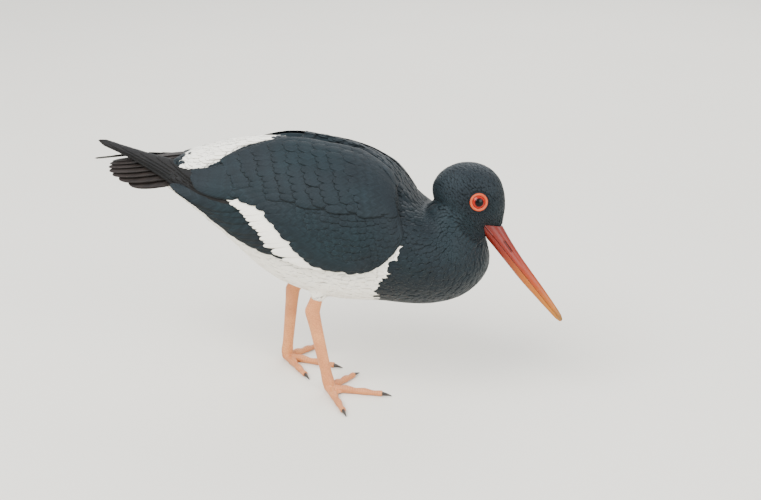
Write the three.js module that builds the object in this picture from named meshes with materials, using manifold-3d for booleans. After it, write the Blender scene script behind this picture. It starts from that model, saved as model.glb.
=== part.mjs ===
// A pied oystercatcher, life size, walking with its head lowered and its bill pointing at the ground.
// Millimetres, +Z up. The bird faces +X, its left side is towards +Y, and its toes stand on z = 0.
import * as THREE from "three";
import { mergeVertices } from "three/addons/utils/BufferGeometryUtils.js";
import Module from "manifold-3d";

const wasm = await Module();
wasm.setup();

const { degToRad, lerp, smoothstep } = THREE.MathUtils;
const GAP = 0.3; // air between neighbouring pieces
const SIDES = { right: -1, left: 1 };

// Colours and finishes.
const finish = (color, roughness) => new THREE.MeshStandardMaterial({ color, roughness, metalness: 0 });
const BLACK = finish(0x22282c, 0.55);
const BROWN_BLACK = finish(0x2b2624, 0.6);
const WHITE = finish(0xe9e7de, 0.8);
const BILL_RED = finish(0xd9542e, 0.4);
const LEG_PINK = finish(0xd08a6c, 0.55);
const CLAW_HORN = finish(0x2e2a26, 0.4);
const RING_ORANGE = finish(0xe0582e, 0.5);
const IRIS_RED = finish(0xb8301c, 0.1);

// The trunk from the tail base to inside the head. Each row is one section: the lowest point (x, z), the highest
// point (x, z), the half width, the sideways shift, and how far up the section is widest.
const TRUNK = [
  [-138, 156, -99, 175.5, 17, 0, 0.5],
  [-112, 141, -90, 179.5, 25, 0, 0.5],
  [-76, 114, -68, 186, 34, 0, 0.49],
  [-34, 81, -38, 190, 42, 0, 0.47],
  [8, 69, 0, 187.5, 46, 0, 0.46],
  [46, 69.5, 32, 179.5, 47, 0, 0.47],
  [80, 70, 54, 163.5, 45.5, 0, 0.48],
  [107, 79, 67, 151, 42, -0.5, 0.49],
  [123, 98, 75, 144.5, 35, -1.5, 0.5],
  [122, 117, 80, 149, 27, -2.5, 0.5],
  [116, 132, 88, 157, 19, -3, 0.5],
];
const TRUNK_SIDES = 28; // facets round a section
const ROW_STEPS = 3; // sections to a row
const BREAST_ROW = 6; // where the breast begins
const NECK_ROW = 8; // where the neck begins

// The head, in its own frame: x along the bill from the edge of the forehead feathers, z towards the crown.
// Rows: x, top z, bottom z, half width. FACE_V sets the feather edge back at the corner of the mouth.
const HEAD_AT = [125.3, -4, 127.4];
const HEAD_TURN = { roll: -12, pitch: 48.7, yaw: -8 };
const HEAD = [
  [0, 9, -5.4, 5.9],
  [-4, 13.5, -8.4, 9.2],
  [-10, 19.6, -12, 13.4],
  [-18, 25.2, -15.6, 17],
  [-28, 28.6, -18.4, 19.6],
  [-38, 27.6, -19.4, 19.6],
  [-47, 22.4, -17.2, 17],
  [-54, 13.5, -12, 12],
  [-57, 4, -4, 4.5],
];
const HEAD_SIDES = 20;
const HEAD_STEPS = 11;
const FACE_V = -9;

// The bill in the head's frame. Rows: x, culmen z, keel z, half width.
const BILL = [
  [0, 9, -5.4, 5.9],
  [10, 7.4, -5.2, 5],
  [24, 5.9, -5.1, 4.2],
  [38, 5.1, -5, 3.4],
  [54, 4.4, -4, 2.7],
  [70, 3.3, -2.8, 1.9],
  [80, 2.2, -1.9, 1],
];
const BILL_STEPS = 12;
const HALF_BILL_SIDES = 10; // facets round one half of the bill
const NOSTRIL = { x: 14, y: 4.6, z: 3.2, length: 11, depth: 2.6, height: 1.5 };
const GAPE = { length: 6, height: 0.5 };

// The eye and the bare ring round it, turned a little forwards and up.
const EYE = { x: -25.5, y: 13, z: 8.5, radius: 6.6, forward: 10, up: 13 };
const RING = { inner: 39, outer: 58, thick: 1.3, sides: 16 }; // degrees from the eye's axis

// The folded wings. Each row is a section across the wing from shoulder to tip, as x, outward y and z of its upper
// and lower edge, and how far it bulges between them. The right wing tip crosses over the left one.
const WING_FRONT = [
  [58, 16, 162, 70, 41, 128, 4],
  [49, 8, 173.5, 62, 45, 115.5, 12],
  [28, 3, 185, 38, 46, 104.5, 19],
  [0, 2, 190.5, 8, 45.5, 104, 21],
  [-27, 4, 192, -24, 44, 112, 18],
  [-55, 13, 184, -54, 41, 123, 10],
  [-82, 20, 172, -82, 35, 142, 3.5],
];
const WINGS = {
  right: [
    ...WING_FRONT,
    [-110, 5, 171, -110, 30.5, 156.5, 1.5],
    [-142, -4, 173, -141, 13, 165.5, 1],
    [-180, -9, 177, -179, -11, 175, 0],
  ],
  left: [
    ...WING_FRONT,
    [-110, 8, 168.5, -110, 30, 155.5, 1.5],
    [-142, 0, 168.5, -141, 15, 163, 1],
    [-175, -9, 167, -175, -7, 165, 0],
  ],
};
const WING_CORE = { from: 0, to: 5.8, steps: 8, across: 5, depth: 8, edge: 0.6, body: 2 };
const ARCH = 0.8; // how square the bulge of a sheet is

// Feathers by tier. Root and tip run from the first feather to the last, each as row, share of the way across and
// height over the lay. Roll tilts each feather so that it lies over its neighbour like a tile. An outline gives
// pairs of shares, of the length and of the half width.
const POINTED = [[0, 0.6], [0.4, 1], [0.7, 0.85], [0.9, 0.45], [1, 0.1]];
const ROUNDED = [[0, 0.7], [0.55, 1], [0.88, 0.8], [1, 0.3]];
const TIERS = {
  primaries: {
    count: 5,
    root: [[4.8, 0.86, -0.6], [4.8, 0.45, 1.6]],
    tip: [[9, 0.5, 0.6], [7.1, 0.12, 4.6]],
    width: 14,
    roll: 0,
    outline: POINTED,
  },
  secondaries: {
    count: 7,
    root: [[2.5, 0.82, -0.3], [5, 0.68, 0.2]],
    tip: [[3.8, 0.99, 0.8], [6.5, 0.95, 1]],
    width: 15,
    roll: 0.12,
    outline: ROUNDED,
  },
  greaterCoverts: {
    count: 7,
    root: [[2.1, 0.82, 0.9], [4.6, 0.5, 1.3]],
    tip: [[3.3, 0.97, 2.1], [5.9, 0.7, 2.7]],
    width: 15,
    roll: 0.12,
    outline: ROUNDED,
  },
  medianCoverts: {
    count: 6,
    root: [[1.4, 0.74, 1.6], [3.6, 0.34, 2.3]],
    tip: [[2.5, 0.92, 3], [4.7, 0.46, 3.7]],
    width: 17,
    roll: 0.1,
    outline: ROUNDED,
  },
  tertials: {
    count: 4,
    root: [[4, 0.5, 2], [4, 0.16, 1.6]],
    tip: [[6.05, 0.55, 3.6], [6.05, 0.1, 2.8]],
    width: 17,
    roll: 0.09,
    outline: ROUNDED,
  },
  scapulars: {
    count: 4,
    root: [[1.6, 0.38, 1.9], [3, 0.07, 0.6]],
    tip: [[3.2, 0.38, 4.2], [5.2, 0.1, 2.6]],
    width: 20,
    roll: 0.09,
    outline: ROUNDED,
  },
};
const VANE = { thick: 0.6, tip: 0.4 };

// The tail: a fan of feathers, roof shaped, the middle pair on top. Rows as for a wing, from right edge to left edge.
const TAIL = [
  [-92, -19, 163, -92, 19, 163, 9],
  [-112, -22, 161, -112, 22, 161, 9],
  [-138, -27, 157, -138, 27, 157, 9],
  [-164, -31, 154.5, -164, 31, 154.5, 8],
];
const TAIL_CORE = { from: 0.3, to: 1.7, steps: 4, across: 6, depth: 8, edge: -1, body: -1, inset: 0.12 };
const TAIL_FEATHERS = { pairs: 6, root: 0.5, spread: 0.5, reach: 0.92, drop: 0.9, width: 13, rounding: 0.8 };

// Legs: the knee, the ankle, the ball of the foot, and each toe's bearing from +X and its length.
const LEGS = {
  right: {
    knee: [3, -19, 86],
    ankle: [-5, -20, 62],
    ball: [8, -24, 5],
    toes: { outer: [-60, 38], middle: [0, 41], inner: [65, 30] },
  },
  left: {
    knee: [-16, 19, 86],
    ankle: [-31.5, 21, 62],
    ball: [-38.5, 24, 5],
    toes: { inner: [-51, 36], middle: [-10, 41], outer: [56, 32] },
  },
};
const THIGH = { top: 12, end: 5.2, share: 0.68, flat: 0.9 };
// Rows down the leg: share of the way from ankle to ball, half depth, half width.
const SHANK = [
  [-0.13, 4.3, 3.7],
  [-0.06, 4.9, 4.1],
  [0, 5.4, 4.4],
  [0.07, 5, 3.9],
  [0.2, 4.2, 3.1],
  [0.5, 3.7, 2.8],
  [0.8, 3.8, 3],
  [0.95, 4.2, 3.5],
];
const FOOT_SHARE = 0.86; // how far down the leg the foot begins
const LEG_SIDES = 12;
const TOE = { root: 3.2, tip: 2, sides: 6, joints: 3, stations: 2, swell: 0.09, rest: 0.78 };
const BALL = { depth: 4.4, width: 4.2, sink: 1 };
const WEB = { reach: 0.45, low: 0.8, high: 2 };
const CLAW = { length: 7, radius: 1.7, tip: 0.25, droop: 1.1, sides: 6, flat: 0.8 };

// Plain geometry

const point = (x, y, z) => new THREE.Vector3(x, y, z);
const steps = (from, to, count) => Array.from({ length: count + 1 }, (_, i) => lerp(from, to, i / count));
const turn = (sides) => steps(0, 2 * Math.PI, sides).slice(0, -1);
const clamp = (value, low, high) => Math.min(Math.max(value, low), high);

// The row of a table at the fractional index s, on a Catmull-Rom curve through the rows.
function rowAt(rows, s) {
  const i = clamp(Math.floor(s), 0, rows.length - 2);
  const f = s - i;
  const [p0, p1, p2, p3] = [i - 1, i, i + 1, i + 2].map((k) => rows[clamp(k, 0, rows.length - 1)]);
  return p1.map(
    (_, c) =>
      0.5 *
      (2 * p1[c] +
        (p2[c] - p0[c]) * f +
        (2 * p0[c] - 5 * p1[c] + 4 * p2[c] - p3[c]) * f * f +
        (3 * p1[c] - p0[c] - 3 * p2[c] + p3[c]) * f * f * f),
  );
}

function geometry(points, triangles) {
  const made = new THREE.BufferGeometry().setFromPoints(points);
  made.setIndex(triangles);
  return made;
}

// The triangles of the wall between two neighbouring rings of n points, the first ring starting at point a.
function wall(a, n) {
  const ring = Array.from({ length: n }, (_, k) => [a + k, a + ((k + 1) % n)]);
  return ring.flatMap(([p, q]) => [p, q, q + n, p, q + n, p + n]);
}

// A closed surface through rings of points. Each ring is a mirror image of itself, point k facing point n - k, and
// the two end rings are closed by strips between facing points, so that a bent end closes cleanly.
function loft(rings) {
  const n = rings[0].length;
  const half = n / 2;
  const last = (rings.length - 1) * n;
  const triangles = rings.slice(1).flatMap((_, r) => wall(r * n, n));
  const cap = [[0, n - 1, 1]];
  for (let k = 1; k < half - 1; k++) {
    cap.push([k, n - k, n - k - 1], [k, n - k - 1, k + 1]);
  }
  cap.push([half - 1, half + 1, half]);
  cap.forEach(([a, b, c]) => triangles.push(a, b, c, last + a, last + c, last + b));
  return geometry(rings.flat(), triangles);
}

// A closed plate between two grids of points of the same size, both split into triangles alike.
function plate(top, bottom) {
  const [rows, columns] = [top.length, top[0].length];
  const [end, edge] = [rows - 1, columns - 1];
  const triangles = [];
  const at = (face, r, c) => (face * rows + r) * columns + c;
  const quad = (a, b, c, d) => triangles.push(a, b, c, a, c, d);
  for (let r = 0; r < end; r++) {
    for (let c = 0; c < edge; c++) {
      triangles.push(at(0, r, c), at(0, r, c + 1), at(0, r + 1, c + 1));
      triangles.push(at(0, r, c), at(0, r + 1, c + 1), at(0, r + 1, c));
      triangles.push(at(1, r, c), at(1, r + 1, c + 1), at(1, r, c + 1));
      triangles.push(at(1, r, c), at(1, r + 1, c), at(1, r + 1, c + 1));
    }
    quad(at(0, r, 0), at(0, r + 1, 0), at(1, r + 1, 0), at(1, r, 0));
    quad(at(0, r + 1, edge), at(0, r, edge), at(1, r, edge), at(1, r + 1, edge));
  }
  for (let c = 0; c < edge; c++) {
    quad(at(0, 0, c + 1), at(0, 0, c), at(1, 0, c), at(1, 0, c + 1));
    quad(at(0, end, c), at(0, end, c + 1), at(1, end, c + 1), at(1, end, c));
  }
  return geometry([...top.flat(), ...bottom.flat()], triangles);
}

// Solids

function signedVolume(vertices, triangles) {
  const corner = (i) => new THREE.Vector3().fromArray(vertices, 3 * triangles[i]);
  let total = 0;
  for (let i = 0; i < triangles.length; i += 3) {
    total += corner(i).dot(corner(i + 1).cross(corner(i + 2)));
  }
  return total;
}

function solid(shape) {
  const bare = shape.clone();
  ["normal", "uv"].forEach((name) => bare.deleteAttribute(name));
  const merged = mergeVertices(bare, 1e-4);
  const vertProperties = merged.getAttribute("position").array;
  const triVerts = new Uint32Array(merged.index.array);
  if (signedVolume(vertProperties, triVerts) < 0) triVerts.reverse();
  return new wasm.Manifold(new wasm.Mesh({ numProp: 3, vertProperties, triVerts }));
}

const joined = (solids) => wasm.Manifold.union(solids);
const bodies = (made) => made.decompose().sort((a, b) => b.volume() - a.volume());

function piece(name, made, material) {
  const mesh = bodies(made)[0].getMesh();
  const shape = new THREE.BufferGeometry();
  shape.setAttribute("position", new THREE.BufferAttribute(mesh.vertProperties, mesh.numProp));
  shape.setIndex(new THREE.BufferAttribute(mesh.triVerts, 1));
  const flat = shape.toNonIndexed();
  flat.computeVertexNormals();
  const part = new THREE.Mesh(flat, material);
  part.name = name;
  return part;
}

// The trunk

// A point of the trunk: s counts rows, angle runs from the back (0) round the left flank to the belly (pi), and
// out is the height over the surface.
function trunkPoint(s, angle, out = 0) {
  const [lowX, lowZ, topX, topZ, width, shift, widest] = rowAt(TRUNK, s);
  const chord = point(topX - lowX, 0, topZ - lowZ);
  const length = chord.length();
  chord.normalize();
  const half = (Math.cos(angle) > 0 ? 1 - widest : widest) * length;
  return point(lowX, shift, lowZ)
    .addScaledVector(chord, widest * length + (half + out) * Math.cos(angle))
    .add(point(0, (width + out) * Math.sin(angle), 0));
}

// The direction square to a trunk section, towards the head.
function trunkNormal(s) {
  const [lowX, lowZ, topX, topZ] = rowAt(TRUNK, s);
  return point(topZ - lowZ, 0, lowX - topX).normalize();
}

// A length of the trunk between two rows. A length that begins behind another one starts a gap further on.
function trunkSolid(from, to, out = 0) {
  const angles = turn(TRUNK_SIDES);
  const rings = steps(from, to, (to - from) * ROW_STEPS).map((s) => angles.map((angle) => trunkPoint(s, angle, out)));
  if (from > 0) rings[0].forEach((spot) => spot.addScaledVector(trunkNormal(from), GAP));
  return solid(loft(rings));
}

// The room that the torso takes up, with the gap that its neighbours keep to it.
function torsoSpace() {
  const grown = trunkSolid(0, TRUNK.length - 1, GAP);
  return grown.add(grown.translate(trunkNormal(0).multiplyScalar(-GAP).toArray()));
}

// The head and bill

const HEAD_ANGLES = [HEAD_TURN.roll, HEAD_TURN.pitch, HEAD_TURN.yaw].map(degToRad);
const HEAD_FRAME = new THREE.Matrix4()
  .makeRotationFromEuler(new THREE.Euler(...HEAD_ANGLES, "ZYX"))
  .setPosition(...HEAD_AT);
const [[, BASE_TOP, BASE_BOTTOM]] = BILL;

// How far back the feather edge runs at a height over or under the corner of the mouth.
const faceRecess = (z) => FACE_V * (1 - clamp(z / (z > 0 ? BASE_TOP : BASE_BOTTOM), 0, 1));

function headSolid(out = 0) {
  const angles = turn(HEAD_SIDES);
  const rings = steps(0, HEAD.length - 1, HEAD_STEPS).map((s) => {
    const [x, top, bottom, width] = rowAt(HEAD, s);
    const fade = 1 - smoothstep(s, 0, 3);
    return angles.map((angle) => {
      const up = Math.cos(angle);
      const recess = faceRecess(up * (up > 0 ? BASE_TOP : -BASE_BOTTOM));
      return point(x + fade * recess, (width + out) * Math.sin(angle), up * ((up > 0 ? top : -bottom) + out));
    });
  });
  return solid(loft(rings));
}

// One half of the bill, upper (1) or lower (-1), from the feather edge to the tip, flat where the halves meet.
function billSolid(half) {
  const columns = HALF_BILL_SIDES + 1;
  const last = BILL_STEPS * columns;
  const rings = steps(0, BILL.length - 1, BILL_STEPS).map((s) => {
    const [x, top, bottom, width] = rowAt(BILL, s);
    const height = half > 0 ? top : -bottom;
    const baseHeight = half > 0 ? BASE_TOP : -BASE_BOTTOM;
    const fade = 1 - smoothstep(s, 0, 1.2);
    return steps(-Math.PI / 2, Math.PI / 2, HALF_BILL_SIDES).map((angle) => {
      const up = Math.max(Math.cos(angle), 0);
      const recess = faceRecess(half * up * baseHeight);
      return point(x + fade * recess + GAP, width * Math.sin(angle), half * (GAP / 2 + up * (height - GAP / 2)));
    });
  });
  const triangles = rings.slice(1).flatMap((_, r) => wall(r * columns, columns));
  for (let k = 1; k < columns - 1; k++) {
    triangles.push(0, k + 1, k, last, last + k, last + k + 1);
  }
  return solid(geometry(rings.flat(), triangles));
}

function nostril(side) {
  const shape = new THREE.SphereGeometry(0.5, 10, 6).scale(NOSTRIL.length, NOSTRIL.depth, NOSTRIL.height);
  return solid(shape.translate(NOSTRIL.x, side * NOSTRIL.y, NOSTRIL.z));
}

// Moves a shape made round the +Y axis at the origin to the eye on one side.
function atEye(shape, side) {
  return shape
    .rotateX(degToRad(EYE.up))
    .rotateZ(degToRad(-EYE.forward))
    .translate(EYE.x, EYE.y, EYE.z)
    .scale(1, side, 1);
}

const eyeball = (side, out = 0) => solid(atEye(new THREE.SphereGeometry(EYE.radius + out, 16, 10), side));

// The eye ring: a rounded band round the eye's axis that hugs the ball.
function eyeRing(side, out = 0) {
  const arc = (low, high, rise) =>
    steps(0, 1, 4).map((share) => {
      const angle = degToRad(lerp(low, high, share));
      const radius = EYE.radius + rise(Math.sin(Math.PI * share));
      return new THREE.Vector2(radius * Math.sin(angle), radius * Math.cos(angle));
    });
  const spread = degToRad(1) * EYE.radius;
  const [low, high] = [RING.inner - out / spread, RING.outer + out / spread];
  const inside = arc(low, high, () => GAP - out);
  const outside = arc(high, low, (bulge) => GAP + out + RING.thick * (0.35 + 0.65 * bulge));
  const section = [...inside, ...outside, inside[0]];
  return solid(atEye(new THREE.LatheGeometry(section, RING.sides), side));
}

function headPieces() {
  const sides = Object.entries(SIDES);
  const slit = new THREE.BoxGeometry(GAPE.length, 60, GAPE.height).translate(FACE_V - GAPE.length / 2, 0, 0);
  const sockets = sides.flatMap(([, side]) => [eyeball(side, GAP), eyeRing(side, GAP)]);
  const group = new THREE.Group();
  group.add(
    piece("head", headSolid().subtract(joined([...sockets, solid(slit)])), BLACK),
    piece("bill_upper", billSolid(1).subtract(joined(sides.map(([, side]) => nostril(side)))), BILL_RED),
    piece("bill_lower", billSolid(-1), BILL_RED),
    ...sides.flatMap(([name, side]) => [
      piece(`eye_${name}`, eyeball(side), IRIS_RED),
      piece(`eyelid_${name}`, eyeRing(side), RING_ORANGE),
    ]),
  );
  group.applyMatrix4(HEAD_FRAME);
  return group;
}

const TORSO_SPACE = torsoSpace();

// Feathered sheets

// A point at a height over a sheet, with the direction out of it.
function onSheet(rows, u, v, height = 0) {
  const spot = (a, b) => {
    const [x0, y0, z0, x1, y1, z1, bulge] = rowAt(rows, a);
    const [top, low] = [point(x0, y0, z0), point(x1, y1, z1)];
    const [before, after] = [rowAt(rows, a - 0.5), rowAt(rows, a + 0.5)];
    const along = point(...after.slice(0, 3)).sub(point(...before.slice(0, 3)));
    const outward = low.clone().sub(top).cross(along).normalize();
    return top.lerp(low, b).addScaledVector(outward, bulge * Math.max(4 * b * (1 - b), 0) ** ARCH);
  };
  const step = 0.02;
  const along = spot(u + step, v).sub(spot(u - step, v));
  const out = spot(u, v + step).sub(spot(u, v - step)).cross(along).normalize();
  return { at: spot(u, v).addScaledVector(out, height), out };
}

// The body of a wing or tail under its feathers: a slab on the sheet, thick in the middle and thin at its edges.
function coreShape(rows, { from, to, steps: count, across, depth, edge, body, inset = 0 }) {
  const grid = (height) =>
    steps(from, to, count).map((u) => steps(inset, 1 - inset, across).map((v) => onSheet(rows, u, v, height(v)).at));
  const swell = (v) => edge + (body - edge) * Math.sin(Math.PI * v) ** 0.7;
  return plate(grid(swell), grid(() => -depth));
}

// One feather on a sheet: a thin plate whose shaft runs from root to tip.
function vaneShape(rows, root, tip, width, outline, roll = 0) {
  const spots = outline.map(([t]) => onSheet(rows, ...root.map((value, i) => lerp(value, tip[i], t))));
  const last = spots.length - 1;
  const grid = (under) =>
    outline.map(([t, share], r) => {
      const { at, out } = spots[r];
      const along = spots[Math.min(r + 1, last)].at.clone().sub(spots[Math.max(r - 1, 0)].at);
      const across = along.cross(out).normalize();
      const half = (width / 2) * share;
      const drop = under * lerp(VANE.thick, VANE.tip, t);
      return [-half, half].map((side) =>
        at.clone().addScaledVector(across, side).addScaledVector(out, side * roll - drop),
      );
    });
  return plate(grid(0), grid(1));
}

function tierShapes(rows, { count, root, tip, width, outline, roll }) {
  const between = ([first, last], share) => first.map((value, i) => lerp(value, last[i], share));
  return steps(0, 1, count - 1).map((share) =>
    vaneShape(rows, between(root, share), between(tip, share), width, outline, roll),
  );
}

function wingPiece(name, side) {
  const rows = WINGS[name];
  const shapes = [coreShape(rows, WING_CORE), ...Object.values(TIERS).flatMap((tier) => tierShapes(rows, tier))];
  const wing = joined(shapes.map((shape) => solid(shape.scale(1, side, 1))));
  return piece(`wing_${name}`, wing.subtract(TORSO_SPACE), BLACK);
}

function tailPiece() {
  const { pairs, root, spread, reach, drop, width, rounding } = TAIL_FEATHERS;
  const feathers = Array.from({ length: pairs }).flatMap((_, pair) =>
    Object.values(SIDES).map((side) => {
      const out = (side * (pair + 0.5)) / (2 * pairs);
      const height = -drop * (pair + (side > 0 ? 0.5 : 0));
      const start = [root, 0.5 - spread * out, height];
      const end = [TAIL.length - 1 - rounding * 4 * out * out, 0.5 - reach * out, height];
      return vaneShape(TAIL, start, end, width, ROUNDED);
    }),
  );
  const tail = joined([coreShape(TAIL, TAIL_CORE), ...feathers].map((shape) => solid(shape)));
  return piece("tail", tail.subtract(TORSO_SPACE), BROWN_BLACK);
}

// Legs and feet

const heading = (bearing) => point(Math.cos(degToRad(bearing)), Math.sin(degToRad(bearing)), 0);

// A tube through rings centred on a path, each given as its centre, direction, half depth and half width.
function tube(rings, sides) {
  const points = rings.map(({ centre, along, depth, width }) => {
    const side = Math.abs(along.z) > 0.5 ? point(0, 1, 0) : point(0, 0, 1).cross(along);
    side.addScaledVector(along, -side.dot(along)).normalize();
    const front = along.clone().cross(side).normalize();
    return turn(sides).map((angle) =>
      centre
        .clone()
        .addScaledVector(front, depth * Math.cos(angle))
        .addScaledVector(side, width * Math.sin(angle)),
    );
  });
  return loft(points);
}

function thighPiece(name, leg) {
  const [knee, ankle] = [point(...leg.knee), point(...leg.ankle)];
  const along = ankle.clone().sub(knee).normalize();
  const rings = steps(0, THIGH.share, 6).map((share) => {
    const radius = lerp(THIGH.top, THIGH.end, Math.sqrt(share / THIGH.share));
    return { centre: knee.clone().lerp(ankle, share), along, depth: radius, width: radius * THIGH.flat };
  });
  return piece(`thigh_${name}`, solid(tube(rings, LEG_SIDES)).subtract(TORSO_SPACE), WHITE);
}

// The bare leg from just over the ankle to the ball of the foot.
function shankSolid(leg) {
  const [knee, ankle, ball] = [leg.knee, leg.ankle, leg.ball].map((at) => point(...at));
  const upward = knee.clone().sub(ankle).normalize();
  const shin = ball.clone().sub(ankle);
  const rings = SHANK.map(([share, depth, width]) => {
    const centre = ankle.clone();
    if (share < 0) centre.addScaledVector(upward, -share * shin.length());
    else centre.addScaledVector(shin, share);
    const along = upward.clone().negate().lerp(shin.clone().normalize(), smoothstep(share, -0.05, 0.05));
    return { centre, along: along.normalize(), depth, width };
  });
  return solid(tube(rings, LEG_SIDES));
}

function toeSolid(ball, [bearing, length]) {
  const along = heading(bearing);
  const rings = steps(0, 1, TOE.joints * TOE.stations).map((share) => {
    const pad = 1 + TOE.swell * Math.cos(2 * Math.PI * TOE.joints * share);
    const radius = lerp(TOE.root, TOE.tip, share) * pad;
    const centre = ball.clone().setZ(TOE.rest * radius).addScaledVector(along, share * length);
    return { centre, along, depth: radius, width: radius };
  });
  return solid(tube(rings, TOE.sides));
}

// A thin web of skin in the fork of two toes.
function webSolid(ball, [bearingA, lengthA], [bearingB, lengthB]) {
  const endA = ball.clone().addScaledVector(heading(bearingA), lengthA * WEB.reach);
  const endB = ball.clone().addScaledVector(heading(bearingB), lengthB * WEB.reach);
  const middle = endA.clone().lerp(endB, 0.5).lerp(ball, 0.25);
  const grid = (z) => [
    [ball.clone().setZ(z), endB.clone().setZ(z)],
    [endA.clone().setZ(z), middle.clone().setZ(z)],
  ];
  return solid(plate(grid(WEB.high), grid(WEB.low)));
}

function clawPiece(name, ball, [bearing, length]) {
  const along = heading(bearing);
  const rings = steps(0, 1, 4).map((share) => {
    const radius = lerp(CLAW.radius, CLAW.tip, share);
    const height = Math.max(TOE.rest * TOE.tip - CLAW.droop * share * share, radius);
    const centre = ball.clone().setZ(height).addScaledVector(along, length + GAP + share * CLAW.length);
    return { centre, along, depth: radius, width: radius * CLAW.flat };
  });
  return piece(name, solid(tube(rings, CLAW.sides)), CLAW_HORN);
}

// The half space on one side of a plane, as a block: over the point at, whose normal leans by slope towards +X.
function blockOver(at, slope) {
  const size = 300;
  return solid(
    new THREE.BoxGeometry(size, size, size)
      .translate(0, 0, size / 2)
      .rotateY(slope)
      .translate(at.x, at.y, at.z),
  );
}

function legPieces(name) {
  const leg = LEGS[name];
  const [ankle, ball] = [point(...leg.ankle), point(...leg.ball)];
  const hub = new THREE.SphereGeometry(1, 10, 6).scale(BALL.depth, BALL.width, BALL.depth);
  const toes = Object.values(leg.toes).map((toe) => toeSolid(ball, toe));
  const web = webSolid(ball, leg.toes.outer, leg.toes.middle);
  const whole = joined([
    shankSolid(leg),
    solid(hub.translate(ball.x, ball.y, ball.z - BALL.sink)),
    ...toes,
    web,
  ]).intersect(blockOver(point(0, 0, 0), 0));
  const cutAt = ankle.clone().lerp(ball, FOOT_SHARE);
  const slope = Math.atan2(ankle.x - ball.x, ankle.z - ball.z);
  const tarsus = whole.intersect(blockOver(cutAt.clone().add(point(0, 0, GAP)), slope));
  return [
    thighPiece(name, leg),
    piece(`tarsus_${name}`, tarsus, LEG_PINK),
    piece(`foot_${name}`, whole.subtract(blockOver(cutAt, slope)), LEG_PINK),
    ...Object.entries(leg.toes).map(([toe, place]) => clawPiece(`claw_${name}_${toe}`, ball, place)),
  ];
}

// The whole bird

const bird = new THREE.Group();
const grownHead = headSolid(GAP).transform(HEAD_FRAME.elements);
bird.add(
  piece("torso", trunkSolid(0, BREAST_ROW), WHITE),
  piece("breast", trunkSolid(BREAST_ROW, NECK_ROW).subtract(grownHead), BLACK),
  piece("neck", trunkSolid(NECK_ROW, TRUNK.length - 1).subtract(grownHead), BLACK),
  headPieces(),
  tailPiece(),
  ...Object.entries(SIDES).map(([name, side]) => wingPiece(name, side)),
  ...Object.keys(SIDES).flatMap((name) => legPieces(name)),
);

// The origin is under the middle of the bird, on the ground.
const extent = new THREE.Box3().setFromObject(bird, true);
bird.position.set(-(extent.min.x + extent.max.x) / 2, -(extent.min.y + extent.max.y) / 2, -extent.min.z);

export default bird;
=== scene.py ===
"""A pied oystercatcher, life size, walking with its head lowered and its bill pointing at the ground.

Shapes are worked out in millimetres in the bird's own frame: it faces +X, its left side is towards +Y, and
the floor is z = 0. Placing them in the row frame is the last thing done to each mesh.
"""

from __future__ import annotations

import logging
import math
from dataclasses import dataclass, field
from enum import Enum

import bpy
import numpy as np
from mathutils import Matrix, Vector
from mathutils.bvhtree import BVHTree
from mathutils.kdtree import KDTree


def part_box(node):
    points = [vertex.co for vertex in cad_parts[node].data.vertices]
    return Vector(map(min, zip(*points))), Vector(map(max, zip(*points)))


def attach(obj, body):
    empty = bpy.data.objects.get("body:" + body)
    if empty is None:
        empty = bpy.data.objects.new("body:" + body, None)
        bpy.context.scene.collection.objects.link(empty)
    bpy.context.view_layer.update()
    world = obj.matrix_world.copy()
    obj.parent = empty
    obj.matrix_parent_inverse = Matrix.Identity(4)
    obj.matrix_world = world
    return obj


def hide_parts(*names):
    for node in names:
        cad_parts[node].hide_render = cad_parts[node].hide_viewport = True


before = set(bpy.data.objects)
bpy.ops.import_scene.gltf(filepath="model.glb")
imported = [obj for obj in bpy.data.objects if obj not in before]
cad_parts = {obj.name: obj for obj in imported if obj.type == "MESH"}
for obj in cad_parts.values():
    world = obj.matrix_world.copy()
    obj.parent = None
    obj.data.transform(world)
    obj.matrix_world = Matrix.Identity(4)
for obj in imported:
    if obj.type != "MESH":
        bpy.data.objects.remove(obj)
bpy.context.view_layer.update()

LOG = logging.getLogger("oystercatcher")
SEED = 11
MM = 0.001
BODY = "root"
BAKE_MAP = "OFBake"
VANE_MAP = "Vane"
TUFT = 0.003  # the side of one feather's patch on the bake map
TORSO_REAR_X = -138.0  # the rear end of the torso in the bird's frame
Array = np.ndarray
Pair = tuple[float, float]
Triple = tuple[float, float, float]
Colour = tuple[float, float, float, float]
Table = tuple[tuple[float, ...], ...]
Material = bpy.types.Material
Node = bpy.types.Node
NodeTree = bpy.types.NodeTree
Socket = bpy.types.NodeSocket


class Side(Enum):
    """The two sides of the bird, with the sign of their y."""

    RIGHT = -1
    LEFT = 1

    @property
    def label(self) -> str:
        """The side's name in the names of pieces and nodes."""
        return self.name.lower()


class Outline(Enum):
    """A feather's outline: the exponent that rounds its tip, and the share of its width at the root."""

    POINTED = (2.3, 0.5)
    BLUNT = (3.2, 0.5)
    ROUND = (5.0, 0.45)


# Plain array mathematics


def unit(vectors: Array) -> Array:
    """Scales vectors along the last axis to length one."""
    return vectors / np.maximum(np.linalg.norm(vectors, axis=-1, keepdims=True), 1e-12)


def mix(low: Array | float, high: Array | float, share: Array | float) -> Array:
    """Goes in a straight line from low to high as share goes from 0 to 1."""
    return low + (high - low) * share


def smooth(value: Array | float, low: float, high: float) -> Array:
    """Rises from 0 at low to 1 at high along 3t^2 - 2t^3."""
    share = np.clip((np.asarray(value, float) - low) / (high - low), 0.0, 1.0)
    return share * share * (3.0 - 2.0 * share)


def bell(value: Array | float, centre: float, spread: float) -> Array:
    """A bell curve of height one: exp(-((value - centre) / spread)^2)."""
    return np.exp(-(((np.asarray(value, float) - centre) / spread) ** 2))


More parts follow.
